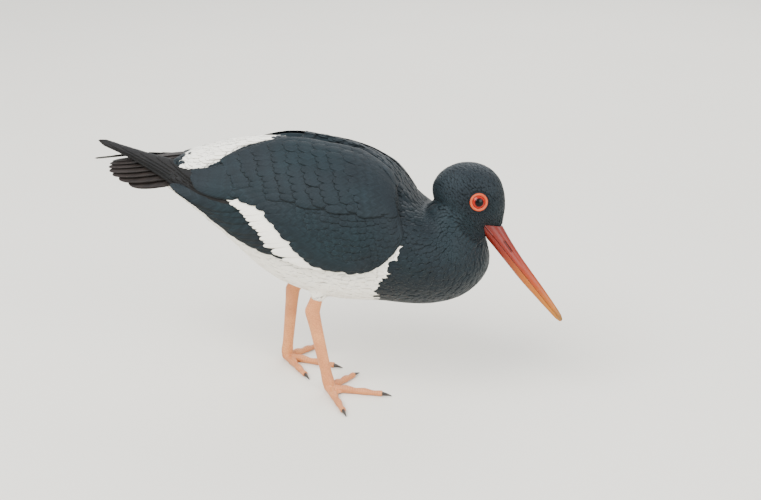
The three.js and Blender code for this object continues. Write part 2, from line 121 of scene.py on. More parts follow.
def row_at(rows: Array | Table, place: Array | float) -> Array:
    """The row of a table at a fractional index, on a Catmull-Rom curve through the rows.

    Args:
        rows: The table, one row for each station.
        place: Fractional indices, of any shape.

    Returns:
        The rows there, with one more axis than place.
    """
    rows, place = np.asarray(rows, float), np.asarray(place, float)
    last = len(rows) - 1
    first = np.clip(np.floor(place).astype(int), 0, last - 1)
    f = (place - first)[..., None]
    p0, p1, p2, p3 = (rows[np.clip(first + k, 0, last)] for k in (-1, 0, 1, 2))
    return 0.5 * (
        2 * p1 + (p2 - p0) * f + (2 * p0 - 5 * p1 + 4 * p2 - p3) * f**2 + (3 * p1 - p0 - 3 * p2 + p3) * f**3
    )


def circle(count: int) -> Array:
    """The angles of so many equal steps once round."""
    return np.arange(count) * 2 * math.pi / count


def lattice(first: Array, second: Array) -> list[Array]:
    """Two parameters over the grid of their values, the first down it and the second across."""
    return np.meshgrid(first, second, indexing="ij")


def heading(bearing: float) -> Array:
    """The level direction at a bearing, in degrees from +X towards +Y."""
    return np.array([math.cos(math.radians(bearing)), math.sin(math.radians(bearing)), 0.0])


def grid(rows: int, columns: int, closed: bool = False) -> Array:
    """The quads between a grid's neighbouring points, which face against row step cross column step.

    Args:
        rows: The number of rows of points.
        columns: The number of points in a row.
        closed: Whether the last point of a row joins on to the first.

    Returns:
        Point numbers, four for each quad.
    """
    steps = columns if closed else columns - 1
    r, c = lattice(np.arange(rows - 1), np.arange(steps))
    n = (c + 1) % columns
    quads = np.stack([r * columns + c, r * columns + n, (r + 1) * columns + n, (r + 1) * columns + c], -1)
    return quads.reshape(-1, 4)


def wave_noise(points: Array, size: float, seed: int) -> Array:
    """A soft noise from -1 to 1: the mean of six sine waves that run in random directions.

    Args:
        points: Places in millimetres.
        size: The length of a wave.
        seed: Which noise.

    Returns:
        The noise at each point.
    """
    draw = np.random.default_rng(seed)
    waves = unit(draw.normal(size=(6, 3))) * (2 * math.pi / size) * draw.uniform(0.7, 1.4, (6, 1))
    return np.sin(points @ waves.T + draw.uniform(0, 2 * math.pi, 6)).mean(axis=-1) * 1.6


# Meshes


def placed(points: Array) -> Array:
    """Moves points from the bird's frame into the row frame.

    Args:
        points: Places in millimetres.

    Returns:
        The same places in metres.
    """
    low, high = (np.array(corner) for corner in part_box("torso"))
    shift = np.array([low[0] - TORSO_REAR_X * MM, (low[1] + high[1]) / 2, 0.0])
    return points * MM + shift


@dataclass
class Surface:
    """A mesh in the bird's frame with what its material reads.

    Attributes:
        points: Places in millimetres.
        faces: Point numbers, all faces with the same number of corners.
        maps: UV maps by name, given at the points.
        values: Float attributes by name, given at the points.
    """

    points: Array
    faces: Array
    maps: dict[str, Array] = field(default_factory=dict)
    values: dict[str, Array] = field(default_factory=dict)

    @staticmethod
    def joined(parts: list[Surface]) -> Surface:
        """Joins surfaces that all carry the same maps and values.

        Args:
            parts: The surfaces.

        Returns:
            One surface that holds them all.
        """
        starts = np.cumsum([0] + [len(part.points) for part in parts[:-1]])
        return Surface(
            np.concatenate([part.points for part in parts]),
            np.concatenate([part.faces + start for part, start in zip(parts, starts)]),
            {name: np.concatenate([part.maps[name] for part in parts]) for name in parts[0].maps},
            {name: np.concatenate([part.values[name] for part in parts]) for name in parts[0].values},
        )

    def mesh(self, name: str) -> bpy.types.Mesh:
        """Writes the surface into a new smooth mesh in the row frame.

        Args:
            name: The mesh's name.

        Returns:
            The mesh.
        """
        made = bpy.data.meshes.new(name)
        corners = self.faces.shape[1]
        made.vertices.add(len(self.points))
        made.vertices.foreach_set("co", placed(self.points).astype(np.float32).ravel())
        made.loops.add(self.faces.size)
        made.loops.foreach_set("vertex_index", self.faces.astype(np.int32).ravel())
        made.polygons.add(len(self.faces))
        made.polygons.foreach_set("loop_start", np.arange(len(self.faces), dtype=np.int32) * corners)
        made.update(calc_edges=True)
        made.shade_smooth()
        for key, places in self.maps.items():
            layer = made.uv_layers.new(name=key)
            layer.data.foreach_set("uv", places[self.faces.ravel()].astype(np.float32).ravel())
        for key, numbers in self.values.items():
            made.attributes.new(key, "FLOAT", "POINT").data.foreach_set("value", numbers.astype(np.float32))
        return made

    def show(self, name: str, material: Material, slot: str, replaces: tuple[str, ...] = ()) -> None:
        """Adds the surface to the scene as one piece of the bird.

        Args:
            name: The piece's name.
            material: What it is dressed in.
            slot: The record's material slot it stands for; not used.
            replaces: The CAD nodes that it stands for.
        """
        piece = bpy.data.objects.new(name, self.mesh(name))
        bpy.context.scene.collection.objects.link(piece)
        piece.data.materials.append(material)
        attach(piece, BODY)
        if replaces:
            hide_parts(*replaces)
        LOG.info("%s: %d triangles", name, len(self.faces) * (self.faces.shape[1] - 2))

    def tree(self) -> BVHTree:
        """A search tree over the surface, in millimetres."""
        return BVHTree.FromPolygons(self.points.tolist(), self.faces.tolist())


def capped(rings: Array) -> Surface:
    """A closed tube through rings of points, its ends drawn in to the middle of the end rings.

    Args:
        rings: Points as rings by sides by three.

    Returns:
        The tube, with its rings running anticlockwise seen from the end they run to.
    """
    count, sides, _ = rings.shape
    ends = (ring.mean(axis=1, keepdims=True) for ring in (rings[:1], rings[-1:]))
    first, last = (np.broadcast_to(end, (1, sides, 3)) for end in ends)
    rows = np.concatenate([first, rings, last])
    return Surface(rows.reshape(-1, 3), grid(count + 2, sides, closed=True))


def fused(parts: list[Surface], voxel: float, smoothing: int) -> Surface:
    """Melts closed surfaces into one by a voxel remesh and smooths it.

    Args:
        parts: Closed surfaces that reach into each other.
        voxel: The size of a voxel in millimetres.
        smoothing: How many times each point moves half way to the mean of its neighbours.

    Returns:
        One closed surface of quads.
    """
    whole = Surface.joined([Surface(part.points, part.faces) for part in parts])
    mesh = bpy.data.meshes.new("melt")
    mesh.from_pydata(whole.points.tolist(), [], whole.faces.tolist())
    melt = bpy.data.objects.new("melt", mesh)
    bpy.context.scene.collection.objects.link(melt)
    weld = melt.modifiers.new("weld", "WELD")
    weld.merge_threshold = 1e-4
    remesh = melt.modifiers.new("remesh", "REMESH")
    remesh.mode = "VOXEL"
    remesh.voxel_size = voxel
    relax = melt.modifiers.new("relax", "SMOOTH")
    relax.factor = 0.5
    relax.iterations = smoothing
    melted = melt.evaluated_get(bpy.context.evaluated_depsgraph_get()).to_mesh()
    points = np.empty(len(melted.vertices) * 3, np.float32)
    melted.vertices.foreach_get("co", points)
    corners = np.empty(len(melted.loops), np.int32)
    melted.loops.foreach_get("vertex_index", corners)
    bpy.data.objects.remove(melt)
    bpy.data.meshes.remove(mesh)
    return Surface(points.reshape(-1, 3).astype(float), corners.reshape(-1, 4))


# Material building


@dataclass
class Graph:
    """A node tree that is being built.

    Attributes:
        tree: The tree.
    """

    tree: NodeTree

    def add(self, kind: str, inputs: dict | None = None, **settings: object) -> Node:
        """Adds a node.

        Args:
            kind: The node's type, without the ShaderNode that begins it.
            inputs: For each input, by name or number, a socket to link or a value to set.
            settings: The node's own settings.

        Returns:
            The node.
        """
        node = self.tree.nodes.new("ShaderNode" + kind)
        for key, value in settings.items():
            setattr(node, key, value)
        self.feed(node, inputs or {})
        return node

    def feed(self, node: Node, inputs: dict) -> None:
        """Links or sets a node's inputs.

        Args:
            node: The node.
            inputs: As for add.
        """
        for key, value in inputs.items():
            if isinstance(value, Socket):
                self.tree.links.new(value, node.inputs[key])
            else:
                node.inputs[key].default_value = value

    def math(self, operation: str, *terms: object) -> Socket:
        """The result of one operation on sockets and numbers."""
        return self.add("Math", dict(enumerate(terms)), operation=operation).outputs[0]

    def value(self, name: str) -> Socket:
        """A float attribute of the mesh."""
        return self.add("Attribute", attribute_name=name).outputs["Fac"]

    def place(self) -> Socket:
        """Object coordinates."""
        return self.add("TexCoord").outputs["Object"]

    def noise(self, place: Socket, scale: float, detail: float = 3.0) -> Socket:
        """A noise from 0 to 1 at so many cells a metre."""
        return self.add("TexNoise", {"Vector": place, "Scale": scale, "Detail": detail}).outputs["Fac"]

    def blend(self, share: object, low: object, high: object, kind: str = "MIX") -> Socket:
        """A colour between two, or their product or other blend."""
        node = self.add("Mix", {0: share, 6: low, 7: high}, data_type="RGBA", blend_type=kind)
        return node.outputs[2]

    def ramp(self, value: Socket, low: float, high: float) -> Socket:
        """Rises smoothly from 0 at low to 1 at high."""
        limits = {"Value": value, "From Min": low, "From Max": high}
        return self.add("MapRange", limits, interpolation_type="SMOOTHSTEP").outputs["Result"]

    def scaled(self, colour: object, share: Socket) -> Socket:
        """A colour with each of its channels times a number."""
        grey = self.add("CombineColor", {0: share, 1: share, 2: share}).outputs[0]
        return self.blend(1.0, colour, grey, "MULTIPLY")

    def raise_surface(self, shader: Node, height: object, depth: float, strength: float) -> None:
        """Lets a height from 0 to 1 bump a shader's surface by a depth in millimetres."""
        bump = self.add("Bump", {"Height": height, "Distance": depth * MM, "Strength": strength})
        self.feed(shader, {"Normal": bump.outputs[0]})

    def stops(self, value: Socket, colours: tuple[tuple[float, Colour], ...]) -> Socket:
        """A colour ramp.

        Args:
            value: Where on the ramp.
            colours: The places of its colours, from 0 to 1, with the colours.

        Returns:
            The colour there.
        """
        node = self.add("ValToRGB", {"Fac": value})
        elements = node.color_ramp.elements
        while len(elements) < len(colours):
            elements.new(0.5)
        for element, (position, colour) in zip(elements, colours):
            element.position = position
            element.color = colour
        return node.outputs["Color"]


def tint(code: str) -> Colour:
    """Works a display colour out as a linear one.

    Args:
        code: Six hexadecimal digits.

    Returns:
        Red, green, blue and alpha.
    """
    shares = [int(code[i : i + 2], 16) / 255 for i in (0, 2, 4)]
    red, green, blue = (c / 12.92 if c < 0.04045 else ((c + 0.055) / 1.055) ** 2.4 for c in shares)
    return (red, green, blue, 1.0)


def group(name: str, inputs: dict[str, tuple[str, object]], outputs: dict[str, str]) -> NodeTree:
    """An empty shader node group.

    Args:
        name: The group's name.
        inputs: The socket kind and default value of each input.
        outputs: The socket kind of each output.

    Returns:
        The group's tree.
    """
    tree = bpy.data.node_groups.new(name, "ShaderNodeTree")
    for key, (kind, default) in inputs.items():
        socket = tree.interface.new_socket(name=key, in_out="INPUT", socket_type="NodeSocket" + kind)
        socket.default_value = default
    for key, kind in outputs.items():
        tree.interface.new_socket(name=key, in_out="OUTPUT", socket_type="NodeSocket" + kind)
    return tree


def barb_group() -> None:
    """Makes the group that draws a feather: its raised shaft, and barbs that slant from it to the edge."""
    tree = group(
        "feather_barbs",
        {"Pitch": ("Float", 0.8), "Slant": ("Float", 1.3), "Waviness": ("Float", 0.8)},
        {"Height": "Float", "Streak": "Float"},
    )
    g = Graph(tree)
    knobs = tree.nodes.new("NodeGroupInput").outputs
    vane = g.add("UVMap", uv_map=VANE_MAP).outputs[0]
    parts = g.add("SeparateXYZ", {0: vane}).outputs
    across = g.math("ABSOLUTE", parts[1])
    wobble = g.noise(vane, 0.35, 2.0)
    along = g.math("SUBTRACT", parts[0], g.math("MULTIPLY", across, knobs["Slant"]))
    waves = g.math("MULTIPLY", knobs["Waviness"], 3.0)
    bent = g.math("MULTIPLY_ADD", g.math("SUBTRACT", wobble, 0.5), waves, along)
    phase = g.math("DIVIDE", g.math("MULTIPLY", bent, 2 * math.pi), knobs["Pitch"])
    ridge = g.math("MULTIPLY_ADD", g.math("SINE", phase), 0.5, 0.5)
    shaft = g.math("SUBTRACT", 1.0, g.ramp(across, 0.12, 0.42))
    stretched = {0: g.math("MULTIPLY", bent, 0.55), 1: g.math("MULTIPLY", across, 0.1)}
    streak = g.noise(g.add("CombineXYZ", stretched).outputs[0], 1.0)
    height = g.math("MAXIMUM", g.math("MULTIPLY", ridge, 0.6), shaft)
    g.feed(tree.nodes.new("NodeGroupOutput"), {"Height": height, "Streak": streak})


def grain_group() -> None:
    """Makes the group that draws small rounded scales, with a mask of the creases between them where the
    skins paint shade.
    """
    tree = group("scaly_skin", {"Size": ("Float", 700.0)}, {"Height": "Float", "Crease": "Float"})
    g = Graph(tree)
    knobs = tree.nodes.new("NodeGroupInput").outputs
    cells = g.add("TexVoronoi", {"Vector": g.place(), "Scale": knobs["Size"]}, feature="DISTANCE_TO_EDGE")
    edge = cells.outputs["Distance"]
    crease = g.math("SUBTRACT", 1.0, g.ramp(edge, 0.0, 0.12))
    g.feed(tree.nodes.new("NodeGroupOutput"), {"Height": g.ramp(edge, 0.0, 0.3), "Crease": crease})


@dataclass(frozen=True)
class Finish:
    """What every finish has, and how it becomes a material.

    Attributes:
        name: The material's name.
        roughness: How matt it is.
    """

    name: str
    roughness: float

    def material(self) -> Material:
        """Makes the material.

        Returns:
            A new material with its Principled shader dressed.
        """
        material = bpy.data.materials.new(self.name)
        material.use_nodes = True
        shader = material.node_tree.nodes["Principled BSDF"]
        shader.inputs["Roughness"].default_value = self.roughness
        self.dress(Graph(material.node_tree), shader)
        return material

    def dress(self, g: Graph, shader: Node) -> None:
        """Feeds the shader, in each finish's own way."""
        raise NotImplementedError


@dataclass(frozen=True)
class Plumage(Finish):
    """Feathers, black and white by the mesh's own marking.

    Attributes:
        dark: The black feathers' colour.
        gloss: The colour that the black turns to in places.
        light: The white feathers' colour.
        pitch: Millimetres from one barb to the next.
        relief: How deep the barbs are, in millimetres.
        barbs: Whether barbs are drawn, as they aren't on the skin under the coat.
        patches: Patches of gloss to a metre.
        contrast: How much lighter and darker single feathers are, where they are black and where white, by
            their own tone and by the painted light on the breast's front.
        streaks: The brightness of a black feather's darkest streak, and how much brighter its lightest is.
        mirror: The colour of the reflections.
    """

    dark: Colour = tint("141a1e")
    gloss: Colour = tint("121d21")
    light: Colour = tint("f6f2e6")
    pitch: float = 0.9
    relief: float = 0.1
    barbs: bool = True
    patches: float = 26.0
    contrast: Pair = (0.16, 0.03)
    streaks: Pair = (0.7, 0.8)
    mirror: Colour = tint("e4eff5")

    def dress(self, g: Graph, shader: Node) -> None:
        """Feeds the shader.

        Args:
            g: The builder of the material's tree.
            shader: Its shader.
        """
        patch = g.ramp(g.noise(g.place(), self.patches, 2.0), 0.35, 0.7)
        on_black, on_white = self.contrast
        # The shade value holds each feather's own tone and, on the coat, painted light that lightens the
        # front of the breast and the head.
        shade = g.math("MULTIPLY_ADD", g.value("shade"), on_black, 1.0)
        if self.barbs:
            barbs = bpy.data.node_groups["feather_barbs"]
            drawn = g.add("Group", {"Pitch": self.pitch}, node_tree=barbs).outputs
            darkest, more = self.streaks
            streak = g.math("MULTIPLY_ADD", g.ramp(drawn["Streak"], 0.35, 0.75), more, darkest)
            shade = g.math("MULTIPLY", shade, streak)
            g.raise_surface(shader, drawn["Height"], self.relief, 0.5)
        pale = g.math("MULTIPLY_ADD", g.value("shade"), on_white, 1.0 - on_white)
        dark = g.scaled(g.blend(patch, self.dark, self.gloss), shade)
        colour = g.blend(g.value("dark"), g.scaled(self.light, pale), dark)
        shine = {"Specular IOR Level": 0.2, "Specular Tint": self.mirror, "Sheen Weight": 0.02}
        g.feed(shader, {"Base Color": colour, **shine})


@dataclass(frozen=True)
class BillHorn(Finish):
    """The bill's horn, red at its base and yellower towards its tip, with painted shade in the nostril.

    Attributes:
        stops: Colours from base to tip.
        slit: The painted shade inside the nostril's groove.
        below: The colour that the under side tends to.
        scurf: Millimetres of fine roughness.
    """

    stops: tuple[tuple[float, Colour], ...] = (
        (0.0, tint("621206")),
        (0.3, tint("781d06")),
        (0.6, tint("8c3406")),
        (0.86, tint("98560c")),
        (1.0, tint("705020")),
    )
    slit: Colour = tint("3a0e08")
    below: Colour = tint("b0701c")
    scurf: float = 0.05

    def dress(self, g: Graph, shader: Node) -> None:
        """Feeds the shader.

        Args:
            g: The builder of the material's tree.
            shader: Its shader.
        """
        mottle = g.noise(g.place(), 220.0, 4.0)
        along = g.math("MULTIPLY_ADD", g.math("SUBTRACT", mottle, 0.5), 0.12, g.value("along"))
        colour = g.stops(along, self.stops)
        under = g.math("MULTIPLY", g.value("under"), 0.45)
        colour = g.blend(under, colour, self.below)
        # Painted shade: the nostril's groove is darkened to this colour.
        colour = g.blend(g.value("slit"), colour, self.slit)
        rough = g.math("MULTIPLY_ADD", mottle, 0.16, self.roughness - 0.06)
        g.raise_surface(shader, g.noise(g.place(), 900.0), self.scurf, 0.5)
        glow = {"Subsurface Weight": 0.06, "Subsurface Scale": 1.5 * MM}
        shine = {"Roughness": rough, "Specular IOR Level": 0.35, "Coat Weight": 0.06}
        g.feed(shader, {"Base Color": colour, **glow, **shine})


@dataclass(frozen=True)
class LegSkin(Finish):
    """Scaly skin, paler on the scales, with painted shade in the creases between them and darker patches.

    Attributes:
        base: The skin's colour.
        crease: The painted shade between the scales, which also colours the darker patches.
        size: Scales to a metre.
        scute: Millimetres from one of the toes' broad scales to the next.
        relief: How high the scales stand, in millimetres.
    """

    base: Colour = tint("d48f58")
    crease: Colour = tint("9c5532")
    size: float = 620.0
    scute: float = 1.9
    relief: float = 0.16

    def dress(self, g: Graph, shader: Node) -> None:
        """Feeds the shader.

        Args:
            g: The builder of the material's tree.
            shader: Its shader.
        """
        grain = bpy.data.node_groups["scaly_skin"]
        scales = g.add("Group", {"Size": self.size}, node_tree=grain).outputs
        band = g.math("SINE", g.math("MULTIPLY", g.value("scute"), 2 * math.pi / self.scute))
        bands = g.math("MULTIPLY", g.ramp(band, -1.0, -0.3), g.value("toe"))
        height = g.math("MULTIPLY_ADD", bands, 1.2, scales["Height"])
        # Painted shade: the creases between the scales and the folds between the toes' broad scales are
        # darkened towards the crease colour.
        folds = g.math("SUBTRACT", 1.0, g.ramp(band, -1.0, -0.6))
        crease_shade = g.math("MAXIMUM", scales["Crease"], g.math("MULTIPLY", folds, g.value("toe")))
        patch = g.ramp(g.noise(g.place(), 60.0, 3.0), 0.3, 0.75)
        base = g.blend(g.math("MULTIPLY", patch, 0.45), self.base, self.crease)
        colour = g.blend(g.math("MULTIPLY", crease_shade, 0.5), base, self.crease)
        g.raise_surface(shader, height, self.relief, 0.7)
        glow = {"Subsurface Weight": 0.08, "Subsurface Scale": 1.2 * MM}
        g.feed(shader, {"Base Color": colour, **glow})


@dataclass(frozen=True)
class Horn(Finish):
    """Dark horn with fine pale flecks.

    Attributes:
        base: The horn's colour.
        fleck: The flecks' colour.
        relief: How high they stand, in millimetres.
    """

    base: Colour = tint("2a2421")
    fleck: Colour = tint("5a4c42")
    relief: float = 0.04

    def dress(self, g: Graph, shader: Node) -> None:
        """Feeds the shader.

        Args:
            g: The builder of the material's tree.
            shader: Its shader.
        """
        flecks = g.noise(g.place(), 500.0, 4.0)
        g.raise_surface(shader, flecks, self.relief, 0.5)
        g.feed(shader, {"Base Color": g.blend(g.ramp(flecks, 0.45, 0.8), self.base, self.fleck)})


@dataclass(frozen=True)
class Iris(Finish):
    """A wet eye: a dark pupil, a red iris with a darker rim and fine rays.

    Attributes:
        stops: Colours outwards from the pupil's middle, by degrees from the eye's axis over ninety.
        rays: Rays to a metre.
        relief: How high they stand, in millimetres.
    """

    stops: tuple[tuple[float, Colour], ...] = (
        (0.0, tint("010101")),
        (0.25, tint("010101")),
        (0.28, tint("3a0605")),
        (0.38, tint("a0200f")),
        (0.46, tint("7a120c")),
        (0.52, tint("180505")),
    )
    rays: float = 1400.0
    relief: float = 0.01

    def dress(self, g: Graph, shader: Node) -> None:
        """Feeds the shader.

        Args:
            g: The builder of the material's tree.
            shader: Its shader.
        """
        rays = g.noise(g.place(), self.rays)
        polar = g.math("MULTIPLY_ADD", g.math("SUBTRACT", rays, 0.5), 0.05, g.value("polar"))
        g.raise_surface(shader, rays, self.relief, 0.2)
        shine = {"Specular IOR Level": 0.1, "Coat Weight": 0.35, "Coat IOR": 1.3, "Coat Roughness": 0.03}
        g.feed(shader, {"Base Color": g.stops(polar, self.stops), **shine})


@dataclass(frozen=True)
class RingSkin(Finish):
    """The bare orange skin round the eye, pimpled.

    Attributes:
        base: The skin's colour.
        crease: The painted shade between its pimples.
        size: Pimples to a metre.
        relief: How high they stand, in millimetres.
    """

    base: Colour = tint("b8450f")
    crease: Colour = tint("7c2410")
    size: float = 1300.0
    relief: float = 0.1

    def dress(self, g: Graph, shader: Node) -> None:
        """Feeds the shader.

        Args:
            g: The builder of the material's tree.
            shader: Its shader.
        """
        grain = bpy.data.node_groups["scaly_skin"]
        scales = g.add("Group", {"Size": self.size}, node_tree=grain).outputs
        g.raise_surface(shader, scales["Height"], self.relief, 0.7)
        # Painted shade in the creases between the pimples.
        colour = g.blend(g.math("MULTIPLY", scales["Crease"], 0.7), self.base, self.crease)
        g.feed(shader, {"Base Color": colour})


# Feathers


@dataclass
class Vanes:
    """Many feathers of one form.

    Attributes:
        shaft: Points along each shaft, as feathers by stations by three.
        out: The direction out of the plumage at each of them.
        width: Each feather's full width.
        dark: The marking at each station, 1 for black and 0 for white.
        shade: A lighter or darker shade for each feather, from -1 to 1: its own tone and, on the coat,
            painted light that makes the breast's front lighter.
        patch: The corner of each feather's patch on the bake map.
        columns: Points across a feather.
        thick: Thickness at the shaft.
        camber: How far the middle stands over the edges, as a share of the half width.
        outline: The form of its edge.
        roll: How far one edge stands over the other, as a share of the half width.
        patch_size: The sides of the patches, across and along.
    """

    shaft: Array
    out: Array
    width: Array
    dark: Array
    shade: Array
    patch: Array
    columns: int
    thick: float
    camber: float
    outline: Outline = Outline.ROUND
    roll: Array | float = 0.0
    patch_size: Pair = (TUFT, TUFT)

    @staticmethod
    def stations(count: int) -> Array:
        """Places along a shaft from 0 to 1, closer together towards the tip: 1 - (1 - k)^1.5."""
        return 1.0 - (1.0 - np.linspace(0.0, 1.0, count)) ** 1.5

    def surface(self) -> Surface:
        """Builds the feathers as closed plates.

        Each is shaft + across * w * half + out * height. Here w runs from -1 to 1, half is half the width
        times (root + (1 - root) sqrt(t)) sqrt(1 - t^p), and the height falls to the edges as 1 - w^2. The
        under side has the same edge and lies lower by the thickness in between.

        Returns:
            The surface, with its vane map in millimetres from the root and the shaft.
        """
        rounding, root_share = self.outline.value
        count, rows, _ = self.shaft.shape
        columns = self.columns
        t = self.stations(rows)
        half = (root_share + (1 - root_share) * np.sqrt(t)) * np.sqrt(np.maximum(1 - t**rounding, 0.0004))
        half = half[None, :] * self.width[:, None] / 2
        along = np.gradient(self.shaft, axis=1)
        across = unit(np.cross(along, self.out))
        w = np.linspace(-1.0, 1.0, columns)
        roll = np.broadcast_to(np.asarray(self.roll, float), (count,))
        height = half[..., None] * (self.camber * (1 - w**2) + roll[:, None, None] * w)
        top = (
            self.shaft[:, :, None]
            + across[:, :, None] * (half[..., None] * w)[..., None]
            + self.out[:, :, None] * height[..., None]
        )
        depth = self.thick * (1 - w[1:-1] ** 2) * np.ones((rows - 2, 1))
        under = top[:, 1:-1, 1:-1] - self.out[:, 1:-1, None] * depth[None, ..., None]
        points = np.concatenate([top.reshape(count, -1, 3), under.reshape(count, -1, 3)], axis=1)

        upper = grid(rows, columns)
        numbers = np.arange(rows * columns).reshape(rows, columns)
        middle = np.arange((rows - 2) * (columns - 2)).reshape(rows - 2, columns - 2)
        numbers[1:-1, 1:-1] = rows * columns + middle
        lower = numbers.ravel()[upper][:, ::-1]
        size = points.shape[1]
        faces = (np.concatenate([upper, lower])[None] + np.arange(count)[:, None, None] * size).reshape(-1, 4)

        def doubled(values: Array) -> Array:
            """Gives the under side's points the values of those over them."""
            inner = values[:, 1:-1, 1:-1].reshape(count, -1, *values.shape[3:])
            return np.concatenate([values.reshape(count, -1, *values.shape[3:]), inner], axis=1)

        length = np.linalg.norm(np.diff(self.shaft, axis=1), axis=2).sum(axis=1)
        grown = np.ones((count, rows, columns))
        vane = np.stack([grown * t[:, None] * length[:, None, None], half[..., None] * w], axis=-1)
        sideways, lengthways = self.patch_size
        bake = np.stack([grown * (w + 1) / 2 * sideways, grown * t[:, None] * lengthways], axis=-1)
        bake += self.patch[:, None, None]
        dark = grown * np.broadcast_to(self.dark, (count, rows))[..., None]
        shade = grown * self.shade[:, None, None]
        return Surface(
            points.reshape(-1, 3),
            faces,
            {BAKE_MAP: doubled(bake).reshape(-1, 2), VANE_MAP: doubled(vane).reshape(-1, 2)},
            {"dark": doubled(dark).ravel(), "shade": doubled(shade).ravel()},
        )


# The trunk, and what it says about every place on the bird


@dataclass
class Trunk:
    """The body from the tail base to inside the head.

    Attributes:
        rows: For each section its lowest point (x, z), highest point (x, z), half width, sideways shift, and
            how far up it is widest.
        coat: The depth of the plumage over the skin.
        stations: Rings of the tube, and points round a ring.
    """

    rows: Table = (
        (-138, 156, -99, 175.5, 17, 0, 0.5),
        (-112, 141, -90, 179.5, 25, 0, 0.5),
        (-76, 114, -68, 186, 34, 0, 0.49),
        (-34, 81, -38, 190, 42, 0, 0.47),
        (8, 69, 0, 187.5, 46, 0, 0.46),
        (46, 69.5, 32, 179.5, 47, 0, 0.47),
        (80, 70, 54, 163.5, 45.5, 0, 0.48),
        (107, 79, 67, 151, 42, -0.5, 0.49),
        (123, 98, 75, 144.5, 35, -1.5, 0.5),
        (122, 117, 80, 149, 27, -2.5, 0.5),
        (116, 132, 88, 157, 19, -3, 0.5),
    )
    coat: float = 1.6
    stations: tuple[int, int] = (61, 64)

    def at(self, s: Array, angle: Array, out: float = 0.0) -> Array:
        """Places on the trunk.

        Args:
            s: The section, as a fractional row.
            angle: Round the section from the back (0) by the left flank to the belly (pi).
            out: Height over the surface.

        Returns:
            The points, at the section's widest level plus its half height times cos(angle) along the
            section's chord, and its half width times sin(angle) to the side.
        """
        low_x, low_z, top_x, top_z, width, shift, widest = np.moveaxis(row_at(self.rows, s), -1, 0)
        chord = np.stack([top_x - low_x, np.zeros_like(low_x), top_z - low_z], -1)
        length = np.linalg.norm(chord, axis=-1)
        up = np.cos(angle)
        half = np.where(up > 0, 1 - widest, widest) * length
        rise = widest * length + (half + out) * up
        base = np.stack([low_x, shift, low_z], -1)
        side = np.stack([np.zeros_like(low_x), (width + out) * np.sin(angle), np.zeros_like(low_x)], -1)
        return base + unit(chord) * rise[..., None] + side

    def surface(self, out: float) -> Surface:
        """The whole trunk.

        Args:
            out: Height over its surface.

        Returns:
            A closed tube.
        """
        count, sides = self.stations
        s, angle = lattice(np.linspace(0, len(self.rows) - 1, count), circle(sides))
        return capped(self.at(s, angle, out)[:, ::-1])


@dataclass
class Head:
    """The head, in a frame with x along the bill from the edge of its feathers and z towards the crown.

    Attributes:
        place: The frame's origin in the bird's frame.
        turn: Its roll, pitch and yaw in degrees.
        rows: x, top z, bottom z and half width of each section.
        face: How far back the feather edge runs at the corner of the mouth.
        base: The bill's top and bottom z where it leaves the feathers.
        stations: Rings of the tube, and points round a ring.
    """

    place: Triple = (125.3, -4.0, 127.4)
    turn: Triple = (-12.0, 48.7, -8.0)
    rows: Table = (
        (0, 9, -5.4, 5.9),
        (-4, 13.5, -8.4, 9.2),
        (-10, 19.6, -12, 13.4),
        (-18, 25.2, -15.6, 17),
        (-28, 28.6, -18.4, 19.6),
        (-38, 27.6, -19.4, 19.6),
        (-47, 22.4, -17.2, 17),
        (-54, 13.5, -12, 12),
        (-57, 4, -4, 4.5),
    )
    face: float = -9.0
    base: Pair = (9.0, -5.4)
    stations: tuple[int, int] = (49, 64)

    @property
    def matrix(self) -> Array:
        """How the head's frame is turned.

        Returns:
            The rotation of the roll, then the pitch, then the yaw.
        """
        roll, pitch, yaw = (math.radians(angle) for angle in self.turn)
        turns = Matrix.Rotation(yaw, 3, "Z") @ Matrix.Rotation(pitch, 3, "Y") @ Matrix.Rotation(roll, 3, "X")
        return np.array(turns)

    def world(self, points: Array) -> Array:
        """Moves points of the head's frame into the bird's frame."""
        return points @ self.matrix.T + np.array(self.place)

    def local(self, points: Array) -> Array:
        """Moves points of the bird's frame into the head's frame."""
        return (points - np.array(self.place)) @ self.matrix

    def recess(self, z: Array) -> Array:
        """How far back the feather edge runs at a height over or under the corner of the mouth."""
        top, bottom = self.base
        return self.face * (1 - np.clip(np.where(z > 0, z / top, z / bottom), 0, 1))

    def surface(self, out: float) -> Surface:
        """The head as one closed tube whose sections are two half ellipses, one over the other.

        Args:
            out: Height over the surface.

        Returns:
            The tube in the bird's frame.
        """
        count, sides = self.stations
        s, angle = lattice(np.linspace(0, len(self.rows) - 1, count), circle(sides))
        x, top, bottom, width = np.moveaxis(row_at(self.rows, s), -1, 0)
        up = np.cos(angle)
        recess = self.recess(up * np.where(up > 0, self.base[0], -self.base[1]))
        fade = 1 - smooth(s, 0, 3)
        height = np.where(up > 0, top, -bottom)
        points = np.stack([x + fade * recess, (width + out) * np.sin(angle), up * (height + out)], -1)
        return capped(self.world(points))


@dataclass
class Thigh:
    """The feathered upper leg.

    Attributes:
        knee: Where it leaves the flank.
        ankle: The joint below it.
        top: Its radius at the flank.
        end: Its radius where the bare leg begins.
        share: How far from knee to ankle it reaches.
    """

    knee: Triple
    ankle: Triple
    top: float = 12.0
    end: float = 5.2
    share: float = 0.58

    def surface(self, out: float) -> Surface:
        """The thigh as a closed tube that narrows quickly below the flank.

        Args:
            out: Height over the surface.

        Returns:
            The tube, its radius going from top to end with the root of the way down.
        """
        knee, ankle = np.array(self.knee), np.array(self.ankle)
        t = np.linspace(0, 1, 13)
        radius = mix(self.top, self.end, np.sqrt(t)) + out
        line = knee + (ankle - knee) * (t * self.share)[:, None]
        return capped(tube_rings(line, radius, radius * 0.9, 24))


